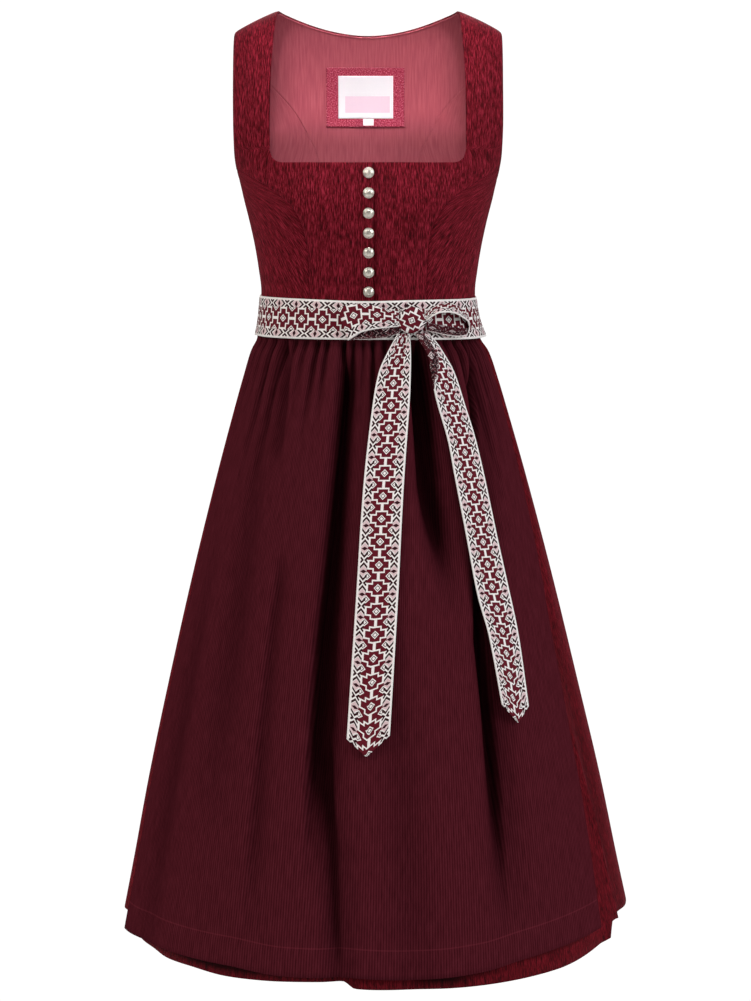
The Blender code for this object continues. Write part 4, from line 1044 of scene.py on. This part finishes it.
def make_back(name, outside, thickness, finishes):
    """The centre back or its lining, with the two back straps."""
    half = np.concatenate((np.linspace(0.0, NECK_STEP, 25), np.linspace(NECK_STEP, 1.0, 11)[1:]))
    share = np.concatenate((-half[:0:-1], half))
    rows = bands((WAIST, BACK_SEAM_END, BACK_SEAM_STEPS), (BACK_SEAM_END + SEAM_GAP, STRAP_TOP - SEAM_HALF, 30))
    if outside < 0.0:
        rows[0] += LINING_SHORT
    height = np.repeat(rows[:, None], len(share), axis=1)
    in_seam = height <= BACK_SEAM_END
    outer = np.where(in_seam, curve(BACK_SEAM, height) - SEAM_HALF, curve(ARMHOLE, height))
    widened = BACK_SEAM[-1][1] + BACK_SPREAD * (height - BACK_SEAM_END)
    reach = np.where(in_seam, outer, np.minimum(STRAP_TIP, widened))
    neck = reach * NECK_POINT / STRAP_TIP
    size = np.abs(share)
    neck_share = np.minimum(size / NECK_STEP, 1.0)
    strap = mix(neck, outer, (size - NECK_STEP) / (1.0 - NECK_STEP))
    distance = np.where(size > NECK_STEP, strap, neck * neck_share)
    dip = BACK_NECK_DEPTH * np.sqrt(1.0 - neck_share ** 2)
    crest = CHEST + OVER_SHOULDER
    lowered = mix(BACK_SEAM_END, crest - dip, (height - BACK_SEAM_END) / (crest - BACK_SEAM_END))
    height = np.where((height > BACK_SEAM_END) & (size < NECK_STEP), lowered, height)
    degrees = body_angle(distance * np.sign(share), height, behind=True)
    base = body_point(degrees, height)
    outward = outward_from(body_point, degrees, height)
    across, up = along_rows(base), along_columns(base)
    middle = len(half) - 1
    edge = edge_of(across, up[-1:] - up)
    crease = rise(np.abs(across - across[:, middle:middle + 1]), height, BACK_CREASE)
    points = rolled(base + outward * outside, outward, edge, bodice_wrinkles(base, 14.0) + crease)
    flat = joined(np.radians(180.0 - degrees) * BACK_RADIUS, height)
    cloth_piece(name, points, flat, finishes, thickness, painted_shade=inside_shade(points, outside))


def make_side_back(name, side, outside, thickness, finishes):
    """A side back or its lining."""
    height, inner, outer = side_panel(BACK_SEAM, BACK_SEAM_END, BACK_SEAM_STEPS, 27, behind=True)
    if outside < 0.0:
        height[0] += LINING_SHORT
    degrees = mix(outer, inner, even(27)) * side
    base = body_point(degrees, height)
    outward = outward_from(body_point, degrees, height)
    across, up = along_rows(base), along_columns(base)
    edge = edge_of(across, BACK_SEAM_END - height)
    points = rolled(base + outward * outside, outward, edge, bodice_wrinkles(base, 20.0 + side))
    flat = turned(joined(across * -side, up), BACK_GRAIN * side)
    cloth_piece(name, points, flat, finishes, thickness, painted_shade=inside_shade(points, outside))


def inside_back(name, box, depth, finishes, cells, puff=0.0):
    """A patch or label on the lining, made from the back's own surface, moved in."""
    left, right, top, low = box
    columns, rows = cells
    x, z = np.meshgrid(np.linspace(left, right, columns + 1), np.linspace(low, top, rows + 1))
    crest = SHOULDER_MIDDLE - SHOULDER_FALL * (x / STRAP_TIP) ** 2
    over = np.arcsin(np.clip((z - CHEST) / (crest - CHEST), 0.0, 1.0)) / math.radians(90.0)
    height = np.where(z > CHEST, CHEST + OVER_SHOULDER * over, z)
    degrees = body_angle(x, height, behind=True)
    base = body_point(degrees, height)
    outward = outward_from(body_point, degrees, height)
    edge = np.minimum(np.minimum(x - left, right - x), np.minimum(z - low, top - z))
    uneven = ripple(31.0, x * PUFF_WAVES[0] + z * PUFF_WAVES[1], 1.0)
    lift = puff * (1.0 - bell(edge / PUFF_EDGE)) * (PUFF_EVEN + PUFF_UNEVEN * uneven)
    points = base - outward * (depth + lift)[..., None]
    cloth_piece(name, points, joined(x, z), finishes, LABEL_CLOTH)


# Small gathers under the belt: depth, how many to a panel, how far down they run
FINE_GATHERS = ((0.0013, 34.0, 0.040), (0.0012, 19.0, 0.085))
FINE_START = 0.006

# Shadow of the apron's hem on the skirt: its reach, where it is longer (reach, angle, width), and its fade
SHADOW_REACH = 0.006
SHADOW_LONGER = ((0.008, -38.0, 16.0), (0.008, 17.0, 7.0))
SHADOW_FADE = 0.008

# Crest down the right of the skirt: how far out, its width, the angles at its top and low end, the height of
# that top and how far down the low end is, then where it starts and over how much
CREST_OUT = 0.0035
CREST_WIDE = 0.9
CREST_ANGLES = (66.0, 70.0)
CREST_TOP = -0.60
CREST_TALL = 0.38
CREST_START = -0.58
CREST_FADE = 0.1

# How far the rows of skirt and apron crowd towards the waist
SKIRT_CROWD = 1.25
APRON_CROWD = 1.2

# Hem of the apron: groove of its stitches and its half width, thickness and the width of its step
STITCH_DEEP = 0.0005
STITCH_HALF = 0.0018
HEM_THICK = 0.0004
HEM_STEP = 0.003

# Broad waves of the apron: depth, and how they run down and across it
APRON_WAVE = 0.0006
APRON_WAVE_RUN = (1.3, 0.2)


def fine_gathers(share, height, seed):
    """Small gathers between the main ones, which run out below the seam."""
    below = np.maximum(BELT_BOTTOM - height, 0.0)
    depth = 0.0
    for number, (deep, count, length) in enumerate(FINE_GATHERS):
        uneven = 0.5 + 0.5 * ripple(seed + 5.0 * number, share, count)
        depth = depth + deep * uneven * bell(below / length)
    return soft_step(below / FINE_START) * depth


def hung_cloth(points):
    """Cloth coordinates of a hung panel: along its hem, and up from it."""
    up = along_columns(points)
    return joined(np.broadcast_to(along_rows(points)[0], up.shape), up)


def apron_shadow(turn, height):
    """How dark the skirt is just under the apron's hem, as a share for its finish."""
    left, right = APRON_LEFT[0][1], APRON_RIGHT[0][1]
    hem = curve(APRON_HEM, np.clip((turn - left) / (right - left), 0.0, 1.0))
    reach = SHADOW_REACH
    for more, angle, width in SHADOW_LONGER:
        reach = reach + more * bell((turn - angle) / width)
    return soft_step((height - hem + reach) / SHADOW_FADE) * ((turn > left) & (turn < right))


def make_skirt(name, first, last, columns, rows):
    """One of the skirt's two panels, between the side seams."""
    angles = np.linspace(first, last, columns + 1)
    turn = np.where(angles <= 270.0, angles, angles - 360.0)
    shares = np.linspace(1.0, 0.0, rows + 1) ** SKIRT_CROWD
    height = mix(WAIST - SEAM_GAP, curve(SKIRT_HEM, turn)[None, :], shares[:, None])
    degrees = np.broadcast_to(angles, height.shape)
    share = (degrees - first) / (last - first)
    crest = bell((degrees - mix(*CREST_ANGLES, (CREST_TOP - height) / CREST_TALL)) / CREST_WIDE)
    crest = crest * soft_step((CREST_START - height) / CREST_FADE)
    inward = fine_gathers(share, height, first) - CREST_OUT * crest
    points = level_offset(skirt_point(degrees, height), degrees, inward)
    # Painted shade, darker deep in the folds and back gathers, and the painted shadow under the apron's hem
    deep = fold_depth(degrees, height) + gather_depth(BACK_GATHERS, degrees % 360.0, height)
    painted_shade = np.maximum(fold_shade_share(deep), apron_shadow(turn, height))
    cloth_piece(name, points, hung_cloth(points), [SKIRT_VELOUR], SKIRT_CLOTH, painted_shade=painted_shade)


def make_apron():
    """The apron, gathered into its band, with a stitched hem."""
    columns, rows = 340, 130
    share = even(columns + 1)
    hem = curve(APRON_HEM, share)
    shares = np.linspace(1.0, 0.0, rows + 1) ** APRON_CROWD
    height = mix(APRON_TOP, hem[None, :], shares[:, None])
    left, right = curve(APRON_LEFT, height), curve(APRON_RIGHT, height)
    degrees = mix(left, right, share)
    share = np.broadcast_to(share, height.shape)
    above_hem = height - hem
    inward = fine_gathers(share, height, 2.0)
    inward = inward + STITCH_DEEP * bell((above_hem - APRON_HEM_DEEP) / STITCH_HALF)
    inward = inward - HEM_THICK * soft_step((APRON_HEM_DEEP - above_hem) / HEM_STEP)
    run = height * APRON_WAVE_RUN[0] + share * APRON_WAVE_RUN[1]
    inward = inward + APRON_WAVE * ripple(40.0, run, 5.0) * ripple(41.0, share, 4.0)
    points = level_offset(apron_point(degrees, height), degrees, inward)
    # Painted shade, darker deep in the apron's gathers and folds
    painted_shade = fold_shade_share(apron_depth(degrees, height))
    cloth_piece("apron", points, hung_cloth(points), [CORD], APRON_CLOTH, painted_shade=painted_shade)


# Sag of the belt at the right: how far, its first and last angle, and over how much it starts and ends
BELT_SAG = (0.0018, 10.0, 170.0, 60.0)
# Dip of its top edge, flare of its low edge, and how its edges turn in: how far, middle, reach
BELT_DIP = (0.0024, 0.0, 34.0)
BELT_FLARE = (0.0048, 88.0, 45.0)
BELT_EDGE = (0.0004, 0.0, 0.0015)
BELT_SLACK = 0.0005


def hump(place, sizes):
    """A bell of a height, about a middle, of a reach."""
    height, middle, reach = sizes
    return height * bell((place - middle) / reach)


def make_belt():
    """The ribbon band round the waist."""
    columns, rows = 360, 12
    degrees, height = np.meshgrid(
        np.linspace(BELT_JOIN + JOIN_HALF, BELT_JOIN + (360.0 - JOIN_HALF), columns + 1),
        np.linspace(BELT_BOTTOM, BELT_TOP, rows + 1),
    )
    share = (height - BELT_BOTTOM) / (BELT_TOP - BELT_BOTTOM)
    turn = half_turn(degrees)
    sag, first, last, fade = BELT_SAG
    height = height - sag * soft_step((turn - first) / fade) * soft_step((last - turn) / fade)
    height = height - hump(turn, BELT_DIP) * share
    edge = np.minimum(share, 1.0 - share) * RIBBON_WIDE
    slack = BELT_SLACK * ripple(50.0, degrees / 360.0, 17.0) * (share - 0.5) * 2.0 - hump(edge, BELT_EDGE)
    slack = slack + hump(turn, BELT_FLARE) * (1.0 - share) ** 2
    points = level_offset(belt_point(degrees, height), degrees, -(RIBBON_CLOTH + slack))
    along = along_rows(points)[rows // 2]
    flat = joined(np.broadcast_to(along, share.shape), share * RIBBON_WIDE)
    cloth_piece("belt_band", points, flat, [RIBBON], RIBBON_CLOTH)


# Shape of a tail: how far its middle bows out and that share at its low end, what its rolled edge lifts and
# over how much of the width, and how far its edges wave
TAIL_BOW = 0.0012
TAIL_BOW_LOW = 0.35
TAIL_ROLL_LIFT = 0.0030
TAIL_ROLL_EDGE = 0.09
TAIL_WAVE = 0.0007


def ribbon_piece(name, points, across, column, width, probe):
    """A length of ribbon of a width, its pattern laid out along one column of its points."""
    length = along_columns(points)[:, column:column + 1]
    flat = joined(np.broadcast_to(length, across.shape), across * width)
    cloth_piece(name, points, flat, [RIBBON, RIBBON_BACK], RIBBON_CLOTH, probe=probe)


def make_tail(name, rows, point_at, seed, roll=(), pleat=()):
    """A ribbon tail that hangs from the knot down the apron to a folded point.

    roll is how much of its width is folded forward from the left, by height. pleat holds the height and
    its reach, the depth, and the place across and its reach, of a pressed pleat.
    """
    across, along = np.meshgrid(even(41), even(161))
    low = rows[0][0]
    height = mix(low, rows[-1][0], along)
    x = curve(rows, height, 1)
    width = curve(rows, height, 2)
    turn = np.radians(curve(rows, height, 3))
    lift = curve(rows, height, 4)
    tip = TAIL_POINT * (1.0 - np.abs(across - point_at) / max(point_at, 1.0 - point_at))
    drop = tip * (1.0 - along) ** TAIL_POINT_POWER
    rolled_share = curve(roll, height) if roll else np.zeros_like(height)
    seen = np.maximum(across, 2.0 * rolled_share - across)
    aside = ((seen - rolled_share) / (1.0 - rolled_share) - 0.5) * width
    crease = TAIL_BOW * np.cos(math.tau * across) * (TAIL_BOW_LOW + (1.0 - TAIL_BOW_LOW) * along ** 3)
    crease = crease + TAIL_ROLL_LIFT * soft_step((rolled_share - across) / TAIL_ROLL_EDGE)
    if pleat:
        level, tall, deep, place, wide = pleat
        crease = crease - deep * bell((across - place) / wide) * bell((height - level) / tall)
    height = height - drop
    x = x + aside * np.cos(turn)
    wave = TAIL_WAVE * ripple(seed, along, 6.0) * (across - 0.5) * 2.0
    y = front_of_skirt(x, height) - lift - crease + aside * np.sin(turn) - RIBBON_CLOTH / 2.0 - wave
    ribbon_piece(name, joined(x, y, height), across, 24, RIBBON_WIDE, probe=0.5)


def make_loop(name, rows, steps, probe, swell=0.0, wave=0.0):
    """A loop of the bow, out from the knot and back, between the paths of the ribbon's two edges.

    swell is how far the middle of the ribbon stands out, and wave how far its edges wave.
    """
    across, along = np.meshgrid(even(17), even(steps + 1))
    x, z, lift = (
        mix(curve(rows, along, column), curve(rows, along, column + 3), across) for column in (1, 2, 3)
    )
    y = front_of_belt(x, z) - lift
    y = y - swell * np.sin(math.pi * across) - wave * ripple(60.0, along, 4.0) * (across - 0.5)
    ribbon_piece(name, joined(x, y, z), across, 8, CUTS[name][1], probe)


def make_knot():
    """The knot: ribbon wrapped once round the bow's middle, with pressed pleats."""
    knot = bmesh.new()
    bmesh.ops.create_cube(knot, size=1.0)
    bmesh.ops.subdivide_edges(knot, edges=knot.edges[:], cuts=19, use_grid_fill=True)
    layer = knot.loops.layers.uv.new("cloth")
    much, little = KNOT_TURN
    for face in knot.faces:
        for loop in face.loops:
            x, z = loop.vert.co.x * KNOT_CLOTH[0], loop.vert.co.z * KNOT_CLOTH[1]
            loop[layer].uv = (much * z + little * x, RIBBON_WIDE / 2.0 + much * x - little * z)
    spots = np.array([vert.co[:] for vert in knot.verts]) * 2.0
    across, deep, up = spots[:, 0], spots[:, 1], spots[:, 2]
    x = mix(KNOT_LEFT, KNOT_RIGHT, across / 2.0 + 0.5)
    x = x - (KNOT_RIGHT - KNOT_LEFT) / 2.0 * KNOT_NARROW * across * up ** 2
    pinch = 1.0 - KNOT_PINCH[0] * across ** 2 - KNOT_PINCH[1] * across ** 4
    z = mix(KNOT_LOW, KNOT_TOP, up * pinch / 2.0 + 0.5)
    swell = np.sqrt((1.0 - KNOT_ROUND * across ** 2) * (1.0 - KNOT_ROUND * up ** 2))
    pleats = sum(
        depth * bell((up - start - slope * (across - KNOT_PLEAT_LEFT)) / KNOT_PLEAT_WIDE)
        for depth, start, slope in KNOT_PLEATS
    )
    forward = KNOT_SEAT + (KNOT_DEPTH * swell - pleats * swell) * (0.5 - deep / 2.0)
    y = front_of_belt(x, z) - forward
    for vert, spot in zip(knot.verts, joined(x, y, z)):
        vert.co = spot
    small_piece("bow_knot", knot, RIBBON)


# Outline of a button: share of its radius, then rise
BUTTON_PROFILE = (
    (0.0, 0.0), (0.55, 0.0), (0.55, 0.0012), (0.9, 0.0013), (0.97, 0.0016), (1.0, 0.0021), (0.98, 0.0026),
    (0.92, 0.0029), (0.86, 0.0029), (0.82, 0.0028), (0.78, 0.0031), (0.66, 0.0038), (0.5, 0.0043),
    (0.32, 0.0046), (0.16, 0.0047), (0.0, 0.0047),
)
BUTTON_SEAT = 0.0004
BUTTON_STEPS = 48

# Petals of its relief: how many, rise, place and reach as shares of the radius, and where the dome starts
PETALS = 8.0
PETAL_RISE = 0.00012
PETAL_PLACE = 0.5
PETAL_REACH = 0.18
DOME_START = 0.0030


def make_button(number):
    """A domed metal button with a rim and an eight-petalled relief."""
    height = np.array(BUTTON_TOP - BUTTON_PITCH * number)
    degrees = body_angle(BUTTON_X, height)
    outward = Vector(outward_from(body_point, degrees, height))
    seat = Vector(body_point(degrees, height)) + outward * BUTTON_SEAT
    dome = bmesh.new()
    verts = [dome.verts.new((share * BUTTON_RADIUS, 0.0, up)) for share, up in BUTTON_PROFILE]
    edges = [dome.edges.new(pair) for pair in zip(verts, verts[1:])]
    bmesh.ops.spin(dome, geom=verts + edges, axis=(0, 0, 1), angle=math.tau, steps=BUTTON_STEPS, use_merge=True)
    bmesh.ops.remove_doubles(dome, verts=dome.verts[:], dist=0.00001)
    bmesh.ops.recalc_face_normals(dome, faces=dome.faces[:])
    for vert in dome.verts:
        share = math.hypot(vert.co.x, vert.co.y) / BUTTON_RADIUS
        around = math.atan2(vert.co.y, vert.co.x)
        if vert.co.z > DOME_START:
            fade = float(bell((share - PETAL_PLACE) / PETAL_REACH))
            vert.co.z += PETAL_RISE * math.cos(PETALS * around) * fade
    turn = Vector((0, 0, 1)).rotation_difference(outward).to_matrix().to_4x4()
    bmesh.ops.transform(dome, matrix=Matrix.Translation(seat) @ turn, verts=dome.verts[:])
    small_piece("button_%d" % (number + 1), dome, SILVER)


lining_outside = -BODICE_CLOTH - LINING_GAP
patch_depth = BODICE_CLOTH + LINING_CLOTH + 2.0 * LINING_GAP
label_depth = patch_depth + LABEL_CLOTH + SEAM_GAP
for word, side in (("left", -1), ("right", 1)):
    make_front(word, side)
    make_side_front(word, side)
    make_side_back("bodice_side_back_" + word, side, 0.0, BODICE_CLOTH, [VELOUR])
    make_side_back("lining_side_back_" + word, side, lining_outside, LINING_CLOTH, [LINING])
make_back("bodice_back", 0.0, BODICE_CLOTH, [VELOUR])
make_back("lining_back", lining_outside, LINING_CLOTH, [LINING])
inside_back("label_patch", PATCH_BOX, patch_depth, [PATCH], (60, 44), 0.0004)
inside_back("label", LABEL_BOX, label_depth, [LABEL], (40, 28), 0.0003)
inside_back("size_tab", TAB_BOX, label_depth, [LABEL], (8, 6))
for number in range(BUTTON_COUNT):
    make_button(number)
make_skirt("skirt_front", -90.0 + SIDE_SEAM_HALF, 90.0 - SIDE_SEAM_HALF, 230, 100)
make_skirt("skirt_back", 90.0 + SIDE_SEAM_HALF, 270.0 - SIDE_SEAM_HALF, 270, 110)
make_apron()
make_belt()
make_knot()
# The left loop is pressed flat over the belt; the right one stands open, so that its reverse shows inside
make_loop("bow_loop_left", LEFT_LOOP, 120, 0.2, swell=0.0006, wave=0.0005)
make_loop("bow_loop_right", RIGHT_LOOP, 140, 0.25)
make_tail("bow_tail_left", LEFT_TAIL, LEFT_TAIL_TIP, 70.0, pleat=LEFT_PLEAT)
make_tail("bow_tail_right", RIGHT_TAIL, RIGHT_TAIL_TIP, 75.0, roll=RIGHT_ROLL)


# Camera as the photograph was taken, with its frame 751 by 1001
FRAME = (751, 1001)
FOCAL_PIXELS = 2636.0
CAMERA_SPOT = (0.008, -2.900, -0.172)
CAMERA_DOWN = 7.07
SENSOR = 36.0

camera_data = bpy.data.cameras.new("camera")
camera_data.sensor_fit = "VERTICAL"
camera_data.sensor_height = SENSOR
camera_data.sensor_width = SENSOR * FRAME[0] / FRAME[1]
camera_data.lens = FOCAL_PIXELS * SENSOR / FRAME[1]
camera = placed("camera", camera_data)
camera.location = CAMERA_SPOT
camera.rotation_euler = (math.radians(90.0 - CAMERA_DOWN), 0.0, 0.0)
bpy.context.scene.camera = camera


FLOOR = -1.45
FLOOR_SIZE = 4.4
FLOOR_BACK = 1.0


def make_stage():
    """A pale floor under the object. It ends where the camera at the photo's angle starts to see it."""
    floor = bmesh.new()
    bmesh.ops.create_grid(floor, x_segments=1, y_segments=1, size=1.0)
    bmesh.ops.scale(floor, vec=(FLOOR_SIZE / 2.0, FLOOR_SIZE / 2.0, 1.0), verts=floor.verts)
    bmesh.ops.translate(floor, vec=(0.0, FLOOR_BACK - FLOOR_SIZE / 2.0, FLOOR), verts=floor.verts)
    material, tree, shader = new_finish("floor_paper", Roughness=0.9, Specular_IOR_Level=0.1)
    spot = add(tree, "TexCoord").outputs["Object"]
    mottle = add(tree, "TexNoise", {"Vector": spot, "Scale": 3.0, "Detail": 2.0})
    shade = add(tree, "ValToRGB", (mottle,), ramp=((0.3, "#f6f6f6"), (0.7, "#fbfbfb")))
    dress(tree, shader, shade, mottle, 0.02, 0.001)
    new_object("floor", floor, [material])


make_stage()


def area_light(name, spot, target, size, power, tone, spread=180.0):
    """A soft light of a width and height, turned from its spot to its target."""
    data = bpy.data.lights.new(name, "AREA")
    data.shape = "RECTANGLE"
    data.size, data.size_y = size
    data.energy = power
    data.spread = math.radians(spread)
    data.color = colour(tone)[:3]
    light = placed(name, data)
    light.location = spot
    light.rotation_euler = (Vector(target) - Vector(spot)).to_track_quat("-Z", "Y").to_euler()


area_light("key", (-2.7, -1.8, 1.4), (0.0, 0.0, -0.45), (1.2, 1.9), 56.0, "#fffaf4")
area_light("fill", (2.8, -1.5, 1.0), (0.0, 0.0, -0.5), (1.2, 1.9), 62.0, "#f6f9ff")
area_light("top", (0.0, -0.4, 2.3), (0.0, 0.0, -0.4), (1.8, 1.8), 26.0, "#ffffff")
area_light("neck", (0.0, -1.6, 1.0), (0.0, 0.09, -0.08), (0.2, 0.2), 0.26, "#fffafa", 14.0)
area_light("back", (0.0, 2.8, 1.3), (0.0, 0.0, -0.5), (1.8, 1.6), 46.0, "#ffffff")

WORLD_LIGHT = 0.30
WORLD_SHOWN = 1.05
world = bpy.data.worlds.new("studio")
world.use_nodes = True
# White paper all round, which lights the object less than it shows
backdrop = world.node_tree.nodes["Background"]
backdrop.inputs["Color"].default_value = (1.0, 1.0, 1.0, 1.0)
seen = add(world.node_tree, "LightPath").outputs["Is Camera Ray"]
glow = add(world.node_tree, "Math", (seen, WORLD_SHOWN - WORLD_LIGHT, WORLD_LIGHT), "MULTIPLY_ADD")
world.node_tree.links.new(glow.outputs[0], backdrop.inputs["Strength"])
bpy.context.scene.world = world
bpy.context.scene.view_settings.view_transform = "Standard"

bpy.context.view_layer.update()
